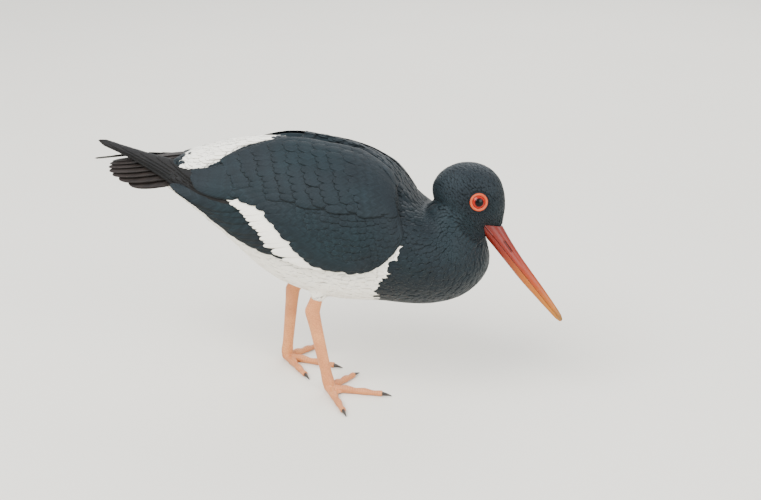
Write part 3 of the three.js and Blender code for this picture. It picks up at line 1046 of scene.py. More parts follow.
def tube_rings(line: Array, depth: Array, width: Array, sides: int) -> Array:
    """Rings round a path, each an ellipse square to it.

    Args:
        line: Points of the path.
        depth: The half size towards the front, or upwards on a level path.
        width: The half size to the side.
        sides: Points round a ring.

    Returns:
        Points as rings by sides by three.
    """
    along = unit(np.gradient(line, axis=0))
    steep = np.abs(along[:, 2:3]) > 0.5
    side = np.where(steep, np.array([0.0, 1.0, 0.0]), np.cross(np.array([0.0, 0.0, 1.0]), along))
    side = unit(side - along * (side * along).sum(axis=1, keepdims=True))
    front = unit(np.cross(along, side))
    angle = -circle(sides)
    return (
        line[:, None]
        + front[:, None] * (depth[:, None] * np.cos(angle))[..., None]
        + side[:, None] * (width[:, None] * np.sin(angle))[..., None]
    )


@dataclass
class Plan:
    """Where every place on the bird lies on the plumage: its lie, its marking and its unwrap.

    Attributes:
        trunk: The body.
        head: The head.
        stations: Sections and angles at which the trunk is sampled.
        front: The black breast's edge behind, as heights and x.
        tail: The x behind which the upper side is dark, and the height over which it is.
        ragged: How uneven the marking's edge is, and over what length.
        blur: Half the width of the change from black to white.
        skull: The middle and the half sizes of what counts as head, in the head's frame.
        ruff: The head's x between which feathers turn from backwards to outwards as well.
        spans: The length and the angle of the head that its unwrap spans.
    """

    trunk: Trunk
    head: Head
    stations: tuple[int, int] = (121, 72)
    front: tuple[Pair, ...] = (
        (60.0, 48.0),
        (80.0, 53.6),
        (93.0, 57.3),
        (103.0, 60.7),
        (110.0, 64.6),
        (116.0, 67.0),
        (122.0, 70.5),
        (128.0, 73.5),
        (131.5, 66.0),
        (137.0, 46.0),
        (150.0, 0.0),
        (163.0, -27.0),
        (210.0, -31.0),
    )
    tail: Pair = (-94.0, 158.0)
    ragged: Pair = (0.8, 14.0)
    blur: float = 0.8
    skull: tuple[Triple, Triple] = ((-27.0, 0.0, 6.0), (31.0, 21.0, 24.0))
    ruff: Pair = (-26.0, 0.0)
    spans: Pair = (60.0, 6.4)

    def __post_init__(self) -> None:
        """Samples the trunk for later searches."""
        count, sides = self.stations
        sections = np.linspace(0, len(self.trunk.rows) - 1, count)
        s, angle = lattice(sections, np.linspace(-math.pi, math.pi, sides, endpoint=False))
        self.samples = np.stack([s.ravel(), angle.ravel()], -1)
        points = self.trunk.at(s, angle).reshape(-1, 3)
        self.search = KDTree(len(points))
        for number, point in enumerate(points):
            self.search.insert(point, number)
        self.search.balance()

    def trunk_place(self, points: Array) -> Array:
        """The section and angle of the trunk that is nearest to each point."""
        nearest = [self.search.find(Vector(point))[1] for point in points]
        return self.samples[nearest]

    def lie(self, points: Array, sections: Array) -> Array:
        """The direction in which feathers point: back along the trunk, and back from the bill on the head.

        Args:
            points: The feathers' roots.
            sections: Their sections on the trunk.

        Returns:
            A direction for each.
        """
        low_x, low_z, top_x, top_z = np.moveaxis(row_at(self.trunk.rows, sections), -1, 0)[:4]
        trunk = -unit(np.stack([top_z - low_z, np.zeros_like(low_x), low_x - top_x], -1))
        local = self.head.local(points)
        onto_head = self.head_share(points)[:, None]
        back = self.head.matrix @ np.array([-1.0, 0.0, 0.0])
        outwards = unit(local * np.array([0.0, 1.0, 1.0])) @ self.head.matrix.T
        spread = smooth(local[:, 0], *self.ruff)[:, None]
        return unit(mix(trunk, back + outwards * 0.6 * spread, onto_head))

    def head_share(self, points: Array) -> Array:
        """How far points belong to the head.

        Args:
            points: Places in the bird's frame.

        Returns:
            For each 1 on the face and crown, falling to 0 on the neck.
        """
        middle, sizes = (np.array(triple) for triple in self.skull)
        reach = np.linalg.norm((self.head.local(points) - middle) / sizes, axis=1)
        return 1 - smooth(reach, 0.95, 1.3)

    def dark(self, points: Array) -> Array:
        """The marking, with a slightly uneven edge.

        Args:
            points: Places on the skin.

        Returns:
            1 for each that is black and 0 for each that is white.
        """
        heights, edges = np.array(self.front).T
        edge = np.interp(points[:, 2], heights, edges)
        depth, size = self.ragged
        front = smooth(points[:, 0] - edge + depth * wave_noise(points, size, 3), -self.blur, self.blur)
        tail_x, tail_z = self.tail
        rear = smooth(tail_x - points[:, 0], -self.blur, self.blur) * (points[:, 2] > tail_z)
        return np.maximum(front, rear)

    def unwrap(self, points: Array, on_head: bool) -> Array:
        """Where each point lies on a cylinder unwrap of the skin.

        Args:
            points: Places on the skin.
            on_head: Whether the cylinder is the head's or the trunk's.

        Returns:
            Two shares from 0 to 1 for each, along the cylinder and round it.
        """
        if on_head:
            local = self.head.local(points)
            length, turn = self.spans
            around = np.arctan2(local[:, 1], local[:, 2]) / turn + 0.5
            return np.stack([np.clip(-local[:, 0] / length, 0, 1), around], -1)
        place = self.trunk_place(points)
        return np.stack([place[:, 0] / (len(self.trunk.rows) - 1), place[:, 1] / (2 * math.pi) + 0.5], -1)


# The folded wings and the tail


def on_sheet(rows: Table, u: Array, v: Array, height: Array, arch: float = 0.8) -> tuple[Array, Array]:
    """Places over a sheet of feathers.

    Args:
        rows: x, y and z of the upper edge, of the lower edge, and the bulge between them.
        u: The section, as a fractional row.
        v: The share of the way from the upper to the lower edge.
        height: Height over the sheet.
        arch: How square the bulge is: it is the row's bulge times (4 v (1 - v))^arch.

    Returns:
        The points, and the direction out of the sheet at each.
    """

    def spot(a: Array, b: Array) -> Array:
        """The sheet itself.

        Args:
            a: The section.
            b: The share of the way across.

        Returns:
            The points.
        """
        row = row_at(rows, a)
        top, low, bulge = row[..., :3], row[..., 3:6], row[..., 6]
        along = (row_at(rows, a + 0.5) - row_at(rows, a - 0.5))[..., :3]
        outward = unit(np.cross(low - top, along))
        rise = bulge * np.maximum(4 * b * (1 - b), 0) ** arch
        return top + (low - top) * b[..., None] + outward * rise[..., None]

    step = 0.02
    along = spot(u + step, v) - spot(u - step, v)
    out = unit(np.cross(spot(u, v + step) - spot(u, v - step), along))
    return spot(u, v) + out * np.asarray(height)[..., None], out


@dataclass
class Tier:
    """One tier of feathers on a wing.

    Attributes:
        count: How many.
        root: Section, share across and height of the first, of any between, and of the last feather's root.
        tip: The same of their tips.
        width: Full width of a feather.
        outline: Its form.
        roll: How far each lies over its neighbour.
        white: The share of its length, from the tip, that is white.
        shade: How much lighter or darker than the rest it is.
        rows: Stations along a feather.
    """

    count: int
    root: tuple[Triple, ...]
    tip: tuple[Triple, ...]
    width: float
    outline: Outline = Outline.ROUND
    roll: float = 0.04
    white: float = 0.0
    shade: float = 0.0
    rows: int = 12

    def vanes(self, sheet: Table, draw: np.random.Generator) -> Vanes:
        """Lays the tier on a sheet.

        Args:
            sheet: The wing's rows.
            draw: Where small differences between feathers come from.

        Returns:
            The feathers, with no patch on the bake map yet.
        """
        share = np.linspace(0, 1, self.count)

        def between(ends: tuple[Triple, ...]) -> Array:
            """Spaces feathers along given places.

            Args:
                ends: The places.

            Returns:
                One for each feather, as share goes from 0 to 1.
            """
            places = np.array(ends)
            marks = np.linspace(0, 1, len(places))
            return np.stack([np.interp(share, marks, places[:, i]) for i in range(3)], -1)

        t = Vanes.stations(self.rows)
        jitter = draw.normal(0, 1, (self.count, 3)) * np.array([0.035, 0.006, 0.04])
        root, tip = between(self.root), between(self.tip) + jitter
        path = root[:, None] + (tip - root)[:, None] * t[:, None]
        shaft, out = on_sheet(sheet, path[..., 0], path[..., 1], path[..., 2])
        white = smooth(t, 1 - self.white - 0.06, 1 - self.white + 0.03) if self.white else np.zeros_like(t)
        return Vanes(
            shaft,
            out,
            self.width * draw.uniform(0.94, 1.06, self.count),
            1 - white[None] * np.ones((self.count, 1)),
            draw.uniform(-1, 1, self.count) * 0.6 + self.shade,
            np.zeros((self.count, 2)),
            columns=7,
            thick=0.35,
            camber=0.1,
            outline=self.outline,
            roll=self.roll,
        )


def atlas(tiers: list[Vanes], across: int) -> None:
    """Gives each of a few hundred large feathers a patch of its own on the bake map.

    Args:
        tiers: The feathers.
        across: How many patches lie side by side.
    """
    count = sum(len(tier.shaft) for tier in tiers)
    rows = math.ceil(count / across)
    size = (0.9 / across, 0.9 / rows)
    start = 0
    for tier in tiers:
        numbers = np.arange(start, start + len(tier.shaft))
        tier.patch = np.stack([numbers % across / across, numbers // across / rows], -1) + 0.002
        tier.patch_size = size
        start += len(tier.shaft)


@dataclass
class Tract:
    """Rows of like feathers over a part of a wing.

    Attributes:
        rows: How many rows.
        count: Feathers in a row.
        start: The section where the last row's roots lie.
        step: How far each further row lies before it.
        length: A feather's length in sections.
        width: A feather's width.
        span: The share across at the lower and at the upper end of a row.
        slant: How much further back a row's upper end lies.
        heights: Height of roots and of tips, which die away towards the front and the upper edge.
        raised: How much less far down the foremost rows reach.
        slope: The same of the last rows, for each section further back.
        ragged: How unevenly the rows' lower ends lie.
        shoulder: The sections between which the raised rows come down.
        back: The section behind which the slope begins.
        swell: The sections between which the heights grow from nothing.
        droop: How much further down a feather's tip lies than its root.
        upper: The share of their heights that a row's upper end has.
    """

    rows: int
    count: int
    start: float
    step: float
    length: float
    width: float
    span: Pair
    slant: float
    heights: Pair
    raised: float = 0.0
    slope: float = 0.0
    ragged: float = 0.0
    shoulder: Pair = (0.1, 1.5)
    back: float = 1.9
    swell: Pair = (-0.7, 1.1)
    droop: float = 0.045
    upper: float = 0.6

    def tiers(self) -> list[Tier]:
        """Makes the rows, each like the last but one step further forward.

        Returns:
            A tier for each row, from the last to the foremost.
        """
        made = []
        for row in range(self.rows):
            start = self.start - self.step * row
            low = self.span[0] - self.slope * max(start - self.back, 0.0)
            low += self.ragged * (-1) ** row - self.raised * float(1 - smooth(start, *self.shoulder))
            root, tip = (height * float(smooth(start, *self.swell)) for height in self.heights)
            below = [(start, low, root), (start + self.length, low + self.droop, tip)]
            above = [(u + self.slant, self.span[1], height * self.upper) for u, _, height in below]
            roots, tips = zip(below, above)
            made.append(Tier(self.count, roots, tips, self.width, rows=8))
        return made


@dataclass
class Wing:
    """A folded wing: a thin body and tiers of feathers over it.

    Attributes:
        side: Which wing.
        front: The sheet's rows from the shoulder to the middle, the same on both sides.
        tips: Its last rows on each side, where the right tip crosses over the left one.
        tiers: The larger feathers, from the lowest tier to the topmost.
        under: How many of those tiers lie under the small coverts.
        tracts: The small coverts over its front and the scapulars over its upper half.
    """

    side: Side
    front: Table = (
        (58, 16, 162, 66.5, 41, 129.5, 4),
        (49, 8, 173.5, 60, 45, 115.5, 12),
        (28, 3, 185, 38, 46, 104.5, 19),
        (0, 2, 190.5, 8, 45.5, 104, 21),
        (-27, 4, 192, -24, 44, 112, 18),
        (-55, 13, 184, -54, 41, 123, 10),
        (-82, 20, 172, -82, 35, 142, 3.5),
    )
    tips: dict[Side, Table] = field(
        default_factory=lambda: {
            Side.RIGHT: (
                (-110, 5, 171, -110, 30.5, 156.5, 1.5),
                (-142, -4, 173, -141, 13, 165.5, 1),
                (-180, -9, 177, -179, -11, 175, 0),
            ),
            Side.LEFT: (
                (-110, 8, 168.5, -110, 30, 155.5, 1.5),
                (-142, 0, 168.5, -141, 15, 163, 1),
                (-175, -9, 167, -175, -7, 165, 0),
            ),
        }
    )
    tiers: tuple[Tier, ...] = (
        # Primaries
        Tier(
            7,
            ((4.6, 0.88, -0.8), (4.6, 0.66, 0.0), (4.8, 0.42, 0.2)),
            ((8.98, 0.5, 0.5), (8.4, 0.42, 1.6), (7.1, 0.27, 2.4)),
            15,
            Outline.POINTED,
            0.05,
            shade=-0.5,
            rows=16,
        ),
        # Secondaries
        Tier(
            12,
            ((2.3, 0.86, -0.4), (3.6, 0.8, 0.0), (4.9, 0.66, 0.4)),
            ((3.4, 0.985, 0.9), (4.4, 0.99, 1.0), (5.2, 0.975, 1.1), (6.0, 0.98, 1.2), (6.9, 0.94, 1.4)),
            13,
            Outline.BLUNT,
            0.09,
            shade=-0.3,
        ),
        # The white bar
        Tier(
            24,
            (
                (1.9, 0.9, 0.0),
                (2.5, 0.86, 0.0),
                (2.9, 0.76, 0.1),
                (3.2, 0.64, 0.2),
                (3.5, 0.54, 0.4),
                (3.9, 0.5, 0.6),
            ),
            (
                (3.2, 0.975, 1.5),
                (3.84, 0.99, 1.7),
                (4.26, 0.94, 1.9),
                (4.6, 0.83, 2.1),
                (4.88, 0.715, 2.2),
                (5.3, 0.635, 2.0),
            ),
            8,
            Outline.BLUNT,
            0.03,
            white=0.62,
        ),
        # The black coverts whose tips end at the bar
        Tier(
            20,
            ((1.2, 0.88, 0.2), (2.2, 0.84, 0.3), (2.9, 0.66, 0.5), (3.7, 0.42, 0.7)),
            (
                (2.3, 0.96, 1.8),
                (3.15, 0.955, 2.3),
                (3.68, 0.865, 2.5),
                (4.1, 0.755, 2.7),
                (4.34, 0.67, 2.8),
                (5.2, 0.56, 2.9),
            ),
            10,
            Outline.ROUND,
            0.05,
        ),
        # The row along the upper edge
        Tier(
            14,
            ((0.1, 0.05, 0.0), (4.5, 0.07, 0.2)),
            ((1.2, 0.05, 0.9), (5.7, 0.09, 1.3)),
            9,
            Outline.ROUND,
            0.0,
            rows=9,
        ),
        # Tertials
        Tier(
            7,
            ((4.0, 0.5, 0.3), (4.0, 0.18, 0.2)),
            ((6.15, 0.58, 2.9), (6.35, 0.27, 2.1)),
            13,
            Outline.BLUNT,
            0.05,
            rows=16,
        ),
    )
    under: int = 4
    tracts: tuple[Tract, ...] = (
        Tract(15, 20, 3.05, 0.22, 0.62, 7.5, (0.93, 0.08), 0.3, (0.2, 1.7), raised=0.08, slope=0.33),
        Tract(11, 10, 3.9, 0.38, 1.15, 10.0, (0.5, 0.1), 0.5, (0.5, 2.4), ragged=0.012),
    )

    @property
    def sheet(self) -> Table:
        """The whole sheet's rows."""
        return (*self.front, *self.tips[self.side])

    def mirrored(self, points: Array) -> Array:
        """Puts points worked out for the left side on this wing's side."""
        return points * np.array([1.0, self.side.value, 1.0])

    def body(self) -> Surface:
        """The wing's body: a closed slab under the feathers, thinner behind, that joins the skin.

        Returns:
            The slab between the sheet, lowered by a millimetre or less, and the sheet lowered by 3 to 8 mm.
        """
        u, v = lattice(np.linspace(0.0, 5.9, 48), np.linspace(0.01, 0.98, 25))
        v = v * (0.9 + 0.1 * smooth(u, 0.0, 1.4))
        top, _ = on_sheet(self.sheet, u, v, 0.7 * np.sin(math.pi * v) - 1.0)
        low, _ = on_sheet(self.sheet, u, v, -8.0 + 5.0 * smooth(u, 3.2, 5.6))
        return capped(self.mirrored(np.concatenate([top, low[:, ::-1]], axis=1)))

    def build(self, black: Material, brown: Material) -> None:
        """Adds the wing's feathers to the scene.

        Args:
            black: The material of most of them.
            brown: The primaries' material, a darker copy of the tail's brown-black: painted shade.
        """
        draw = np.random.default_rng(SEED + self.side.value)
        coverts, scapulars = (tract.tiers() for tract in self.tracts)
        tiers = [*self.tiers[: self.under], *coverts, *self.tiers[self.under :], *scapulars]
        layers = [tier.vanes(self.sheet, draw) for tier in tiers]
        atlas(layers, 20)
        for layer in layers:
            layer.shaft = self.mirrored(layer.shaft)
            layer.out = self.mirrored(layer.out)
            layer.roll = layer.roll * self.side.value
        node = f"wing_{self.side.label}"
        layers[0].surface().show(f"{node}_primaries", brown, "brown_black_plumage", (node,))
        rest = Surface.joined([layer.surface() for layer in layers[1:]])
        rest.show(f"{node}_feathers", black, "black_plumage", (node,))


@dataclass
class Mantle:
    """The plumage of the back between the wings, which fills the valley between their upper edges.

    Attributes:
        wing: One of the wings.
        reach: The sheet rows between which it runs.
        depth: Half its depth.
        rise: How much higher than the wings' upper edges it lies.
        nose: Where it runs out on the neck, as x, z and half width.
        inset: How far each side reaches into the wing beside it.
        stations: Rings of the tube, and points round a ring.
    """

    wing: Wing
    reach: Pair = (0.0, 3.5)
    depth: float = 9.0
    rise: float = 1.2
    nose: Triple = (68.0, 148.5, 15.0)
    inset: float = 2.0
    stations: tuple[int, int] = (30, 40)

    def surface(self) -> Surface:
        """Builds it as a closed tube whose sections are rounded rectangles, flat on top.

        Returns:
            The tube: half width and depth times the signed roots of cos(angle) and sin(angle) round it.
        """
        count, sides = self.stations
        x, y, z = row_at(self.wing.sheet, np.linspace(*self.reach, count))[:, :3].T
        edges = zip(self.nose, (x, z, y + self.inset))
        x, z, y = (np.concatenate([[first], rest]) for first, rest in edges)
        angle = circle(sides)
        across, up = (np.sign(part) * np.abs(part) ** 0.5 for part in (np.cos(angle), np.sin(angle)))
        level = z + self.rise - self.depth
        rings = [
            np.broadcast_to(x[:, None], (len(x), sides)),
            y[:, None] * across,
            level[:, None] + self.depth * up,
        ]
        return capped(np.stack(rings, -1))


@dataclass
class Tail:
    """The tail: a roof-shaped fan, the middle pair on top.

    Attributes:
        rows: The sheet's rows from root to tip, each from its right edge to its left edge.
        pairs: Pairs of feathers.
        width: Full width of a feather.
        stack: How far each feather lies under the one nearer to the middle.
    """

    rows: Table = (
        (-92, -19, 163, -92, 19, 163, 9),
        (-112, -22, 161, -112, 22, 161, 9),
        (-138, -27, 157, -138, 27, 157, 9),
        (-164, -31, 154.5, -164, 31, 154.5, 8),
    )
    pairs: int = 6
    width: float = 19.0
    stack: float = 0.9

    def build(self, material: Material) -> None:
        """Adds the tail to the scene.

        Args:
            material: What its feathers are dressed in.
        """
        draw = np.random.default_rng(SEED)
        t = Vanes.stations(18)
        pair, side = (values.ravel() for values in lattice(np.arange(self.pairs), np.array([-1, 1])))
        out = side * (pair + 0.5) / (2 * self.pairs)
        height = -self.stack * (pair + np.where(side > 0, 0.5, 0.0))
        start = np.stack([np.full_like(out, 0.3), 0.5 - 1.15 * out, height + 1.5], -1)
        end = np.stack([3 - 4.0 * out**2, 0.5 - 1.0 * out, height - 0.5 * np.abs(out)], -1)
        path = start[:, None] + (end - start)[:, None] * t[:, None]
        shaft, outward = on_sheet(self.rows, path[..., 0], path[..., 1], path[..., 2])
        count = len(out)
        feathers = Vanes(
            shaft,
            outward,
            self.width * draw.uniform(0.96, 1.04, count),
            np.ones((count, 1)),
            draw.uniform(-0.6, 0.4, count),
            np.zeros((count, 2)),
            columns=9,
            thick=0.4,
            camber=0.04,
        )
        atlas([feathers], 4)
        feathers.surface().show("tail_feathers", material, "brown_black_plumage", ("tail",))


# The skin and the coat


@dataclass
class Zone:
    """How the coat grows on one part of the bird.

    Attributes:
        name: The piece's name.
        spacing: Millimetres from feather to feather.
        length: A feather's length over the spacing.
        width: A feather's width over the spacing.
        lift: How high its tip stands over its root.
        thick: Its thickness.
        on_head: Whether its unwrap is the head's.
        columns: Points across a feather.
        rows: Stations along it.
        slot: The record's material slot that it stands for.
    """

    name: str
    spacing: float
    length: float
    width: float
    lift: float
    thick: float
    on_head: bool
    columns: int
    rows: int
    slot: str = "black_plumage"


@dataclass
class Coat:
    """The skin over the whole body and the small feathers on it.

    Attributes:
        plan: The lie and marking.
        thighs: The feathered upper legs.
        wings: The wings' bodies.
        mantle: The back between them.
        zones: The parts of the coat, from the head back.
        voxel: The size of the skin's faces.
        eye_room: How near to the middle of an eye a feather may come.
        wing_room: How near to a wing's body no feather grows.
        sunk: How far the head and the thighs are drawn in.
        root_height: How high a feather's root stands over the skin.
    """

    plan: Plan
    thighs: list[Thigh]
    wings: list[Surface]
    mantle: Surface
    zones: tuple[Zone, ...] = (
        Zone("coat_face", 0.9, 3.2, 2.2, 0.1, 0.08, True, 3, 5),
        Zone("coat_head", 1.3, 3.4, 2.2, 0.18, 0.1, True, 5, 6),
        Zone("coat_neck", 1.8, 3.8, 2.3, 0.3, 0.12, False, 5, 7),
        Zone("coat_breast", 2.3, 4.0, 2.4, 0.4, 0.14, False, 5, 7),
        Zone("coat_belly", 2.7, 4.2, 2.5, 0.3, 0.1, False, 5, 7, "white_plumage"),
        Zone("coat_back", 2.6, 4.2, 2.5, 0.4, 0.14, False, 5, 7),
        Zone("coat_thighs", 1.7, 3.4, 2.2, 0.3, 0.1, False, 5, 6),
    )
    voxel: float = 1.4
    eye_room: float = 8.3
    wing_room: float = 1.3
    sunk: Pair = (0.6, 0.8)
    root_height: float = 0.2

    def zone_of(self, points: Array, sections: Array, angles: Array) -> Array:
        """Says which zone each point lies in.

        Args:
            points: Places on the skin.
            sections: Their sections on the trunk.
            angles: Their angles round it.

        Returns:
            The zones' numbers.
        """
        face, head, neck, breast, belly, back, thighs = range(len(self.zones))
        on_head = self.plan.head_share(points) > 0.35
        before_eyes = self.plan.head.local(points)[:, 0] > -20
        ankles = [np.array(thigh.ankle[:2]) for thigh in self.thighs]
        away = np.min([np.linalg.norm(points[:, :2] - ankle, axis=1) for ankle in ankles], axis=0)
        zone = np.where(np.abs(angles) > 1.5, belly, back)
        zone = np.where(sections > 5.4, breast, zone)
        zone = np.where(sections > 8.0, neck, zone)
        zone = np.where((away < 11) & (points[:, 2] < 74), thighs, zone)
        zone = np.where(on_head, head, zone)
        return np.where(on_head & before_eyes, face, zone)

    def skin(self) -> Surface:
        """Melts the drawn-in trunk, head and thighs, the wings' bodies and the mantle together.

        Returns:
            The skin.
        """
        head, thigh = self.sunk
        parts = [self.plan.trunk.surface(-self.plan.trunk.coat), self.plan.head.surface(-head)]
        parts += [part.surface(-thigh) for part in self.thighs]
        return fused([*parts, *self.wings, self.mantle], self.voxel, 6)

    def roots(self, skin: Surface, draw: np.random.Generator) -> Array:
        """Scatters roots over the skin, no two nearer than their zone's spacing.

        Args:
            skin: The skin.
            draw: Where the random numbers come from.

        Returns:
            The roots, with their section and angle on the trunk and their zone as further columns.
        """
        corners = skin.points[skin.faces]
        sides = np.cross(corners[:, 2] - corners[:, 0], corners[:, 3] - corners[:, 1])
        area = np.linalg.norm(sides, axis=1) / 2
        centre = corners.mean(axis=1)
        place = self.plan.trunk_place(centre)
        zone = self.zone_of(centre, place[:, 0], place[:, 1])
        spacing = np.array([z.spacing for z in self.zones])[zone]
        wanted = draw.poisson(area * 3.0 / spacing**2)
        face = np.repeat(np.arange(len(area)), wanted)
        face = face[draw.permutation(len(face))]
        a, b = draw.random((2, len(face), 1))
        quad = corners[face]
        points = mix(mix(quad[:, 0], quad[:, 1], a), mix(quad[:, 3], quad[:, 2], a), b)
        tree = KDTree(len(points))
        for number, point in enumerate(points):
            tree.insert(point, number)
        tree.balance()
        free = np.ones(len(points), bool)
        kept = []
        for number in range(len(points)):
            if free[number]:
                kept.append(number)
                for _, other, _ in tree.find_range(Vector(points[number]), spacing[face[number]]):
                    free[other] = False
        return np.column_stack([points, place[face], zone[face]])[kept]

    def hugged(self, tree: BVHTree, roots: Array, lie: Array, length: Array, lift: Array, rows: int) -> tuple:
        """Bends shafts along the skin.

        Args:
            tree: The skin.
            roots: Where the shafts begin.
            lie: Their direction.
            length: Their length.
            lift: How high each tip stands.
            rows: Stations along a shaft.

        Returns:
            The shafts, and the skin's outward direction at each station.
        """
        t = Vanes.stations(rows)
        shaft = np.empty((len(roots), rows, 3))
        out = np.empty_like(shaft)
        spot, way, before = roots.copy(), lie.copy(), 0.0
        for k in range(rows):
            spot = spot + way * (length * (t[k] - before))[:, None]
            before = t[k]
            found = [tree.find_nearest(Vector(p)) for p in spot]
            spot = np.array([f[0] for f in found])
            out[:, k] = np.array([f[1] for f in found])
            way = unit(way - out[:, k] * (way * out[:, k]).sum(axis=1, keepdims=True))
            shaft[:, k] = spot + out[:, k] * (self.root_height + lift * t[k])[:, None]
        out[:, 1:-1] = unit(out[:, :-2] + out[:, 1:-1] + out[:, 2:])
        return shaft, out

    def on_wing(self, points: Array) -> Array:
        """Finds the points on a wing's body, where the wing's own feathers are.

        Args:
            points: Places on the skin.

        Returns:
            Whether each is there.
        """
        trees = [wing.tree() for wing in self.wings]
        near = [[tree.find_nearest(Vector(point), self.wing_room)[0] for tree in trees] for point in points]
        return np.array([any(found) for found in near])

    def build(self, feather: Material, bare: Material, eyes: Array) -> None:
        """Adds the skin and its coat to the scene.

        Args:
            feather: The material of the small feathers.
            bare: The material of the skin under them.
            eyes: The middles of the eyes.
        """
        draw = np.random.default_rng(SEED)
        skin = self.skin()
        tree = skin.tree()
        dark = np.maximum(self.plan.dark(skin.points), self.on_wing(skin.points))
        skin.values = {"dark": dark, "shade": wave_noise(skin.points, 9.0, 5)}
        flesh = ("torso", "breast", "neck", "head", "thigh_right", "thigh_left")
        skin.show("skin", bare, "white_plumage", flesh)
        roots = self.roots(skin, draw)
        roots = roots[~self.on_wing(roots[:, :3])]
        for number, zone in enumerate(self.zones):
            self.grow(zone, roots[roots[:, 5] == number], tree, eyes, draw, feather)

    def grow(
        self,
        zone: Zone,
        roots: Array,
        tree: BVHTree,
        eyes: Array,
        draw: np.random.Generator,
        material: Material,
    ) -> None:
        """Grows one zone of the coat.

        Args:
            zone: How it grows.
            roots: The feathers' roots with their section, angle and zone.
            tree: The skin.
            eyes: The middles of the eyes.
            draw: Where the random numbers come from.
            material: What the feathers are dressed in.
        """
        count = len(roots)
        points = roots[:, :3]
        lie = self.plan.lie(points, roots[:, 3]) + draw.normal(0, 0.04, (count, 3))
        length = zone.spacing * zone.length * draw.uniform(0.88, 1.12, count)
        length *= 1 - 0.45 * bell(np.linalg.norm(points[:, None] - eyes, axis=2).min(axis=1), 8.0, 5.0)
        lift = zone.lift * draw.uniform(0.75, 1.25, count)
        shaft, out = self.hugged(tree, points, unit(lie), length, lift, zone.rows)
        near = np.linalg.norm(shaft[:, :, None] - eyes, axis=3).min(axis=(1, 2))
        keep = near > self.eye_room
        if zone.on_head:
            local = self.plan.head.local(points)
            keep &= local[:, 0] < self.plan.head.recess(local[:, 2]) - 0.3
        shaft, out, points = shaft[keep], out[keep], points[keep]
        width = (zone.spacing * zone.width * draw.uniform(0.9, 1.1, count))[keep]
        shade = wave_noise(points, 16.0, 7) * 0.5 + draw.uniform(-0.5, 0.5, count)[keep]
        feathers = Vanes(
            shaft,
            out,
            width,
            self.plan.dark(points)[:, None].round(),
            # Painted light: the shade rises by one from x = 70 to 105 mm, so the breast's front and the head
            # are painted lighter, as where light falls on them from the front.
            shade + smooth(points[:, 0], 70, 105) - 0.3,
            self.plan.unwrap(points, zone.on_head) * (1 - TUFT),
            columns=zone.columns,
            thick=zone.thick,
            camber=0.06,
            roll=draw.normal(0, 0.03, count)[keep],
        )
        feathers.surface().show(zone.name, material, zone.slot)


# The head's bare parts


@dataclass
class Bill:
    """The long straight bill, in two halves.

    Attributes:
        head: The frame it stands in.
        rows: x, culmen z, keel z and half width of each section.
        nostril: The x and the angle from the top of the nostril's middle, and its half length.
        groove: Depth of the groove that leads to it.
        seam: Half the gap between the halves.
        stations: Points along a half, and across it.
    """

    head: Head
    rows: Table = (
        (0, 9, -5.4, 5.9),
        (10, 7.4, -5.2, 5),
        (24, 5.9, -5.1, 4.2),
        (38, 5.1, -5, 3.4),
        (54, 4.4, -4, 2.7),
        (70, 3.3, -2.8, 1.9),
        (80, 2.2, -1.9, 1),
    )
    nostril: Triple = (14.0, 1.05, 5.2)
    groove: float = 0.55
    seam: float = 0.15
    stations: tuple[int, int] = (130, 45)

    def half(self, sign: int) -> Surface:
        """One half of the bill.

        Its section is a half ellipse, the half width times sin(angle) to the side and the height times
        cos(angle) up or down, closed by a flat face where the halves meet. The upper half has a groove from
        the base along each side that deepens into the nostril.

        Args:
            sign: 1 for the upper half and -1 for the lower one.

        Returns:
            The closed surface with its values along the bill, on its under side and in the nostril, where its
            material paints shade.
        """
        count, across = self.stations
        last = len(self.rows) - 1
        s, angle = lattice(np.linspace(0, last, count), np.linspace(-1, 1, across))
        tip = np.sqrt(np.clip((last - s) / 0.5, 0.0, 1.0)) * 0.8 + 0.2
        angle = angle * math.pi / 2
        x, top, bottom, width = np.moveaxis(row_at(self.rows, s), -1, 0)
        height = top if sign > 0 else -bottom
        base = self.head.base[0] if sign > 0 else -self.head.base[1]
        up = np.maximum(np.cos(angle), 0)
        recess = self.head.recess(sign * up * base) * (1 - smooth(s, 0, 1.2))
        groove = np.zeros_like(s)
        slit = np.zeros_like(s)
        if sign > 0:
            middle, level, reach = self.nostril
            line = bell(np.abs(angle), level, 0.2)
            groove = self.groove * line * smooth(x, -6, 2) * (1 - smooth(x, 24, 36))
            slit = bell(np.abs(angle), level, 0.085) * (1 - smooth(np.abs(x - middle), reach - 1.2, reach))
        side = np.sin(angle) * (width - groove - 1.2 * slit) * tip
        away = self.seam + up**0.92 * (height - self.seam) * tip
        points = np.stack([x + recess + 0.3, side, sign * away], -1)
        flat = points.copy()
        flat[..., 2] = sign * self.seam
        ring = np.concatenate([points, flat[:, -2:0:-1]], axis=1)
        made = capped(self.head.world(ring))
        if sign < 0:
            made.faces = made.faces[:, ::-1]

        def ringed(values: Array) -> Array:
            """Carries values to the flat face, and to the closed ends."""
            whole = np.concatenate([values, values[:, -2:0:-1]], axis=1)
            return np.concatenate([whole[:1], whole, whole[-1:]]).reshape(-1)

        made.values = {
            "along": ringed(x / 80),
            "under": ringed((np.ones_like(s) if sign < 0 else np.zeros_like(s)) * smooth(x, 10, 50)),
            # Where the material paints shade in the nostril.
            "slit": ringed(np.clip(slit * 1.3, 0, 1)),
        }
        return made

    def build(self, material: Material) -> None:
        """Adds the bill to the scene."""
        self.half(1).show("bill_upper_horn", material, "bill_horn", ("bill_upper",))
        self.half(-1).show("bill_lower_horn", material, "bill_horn", ("bill_lower",))


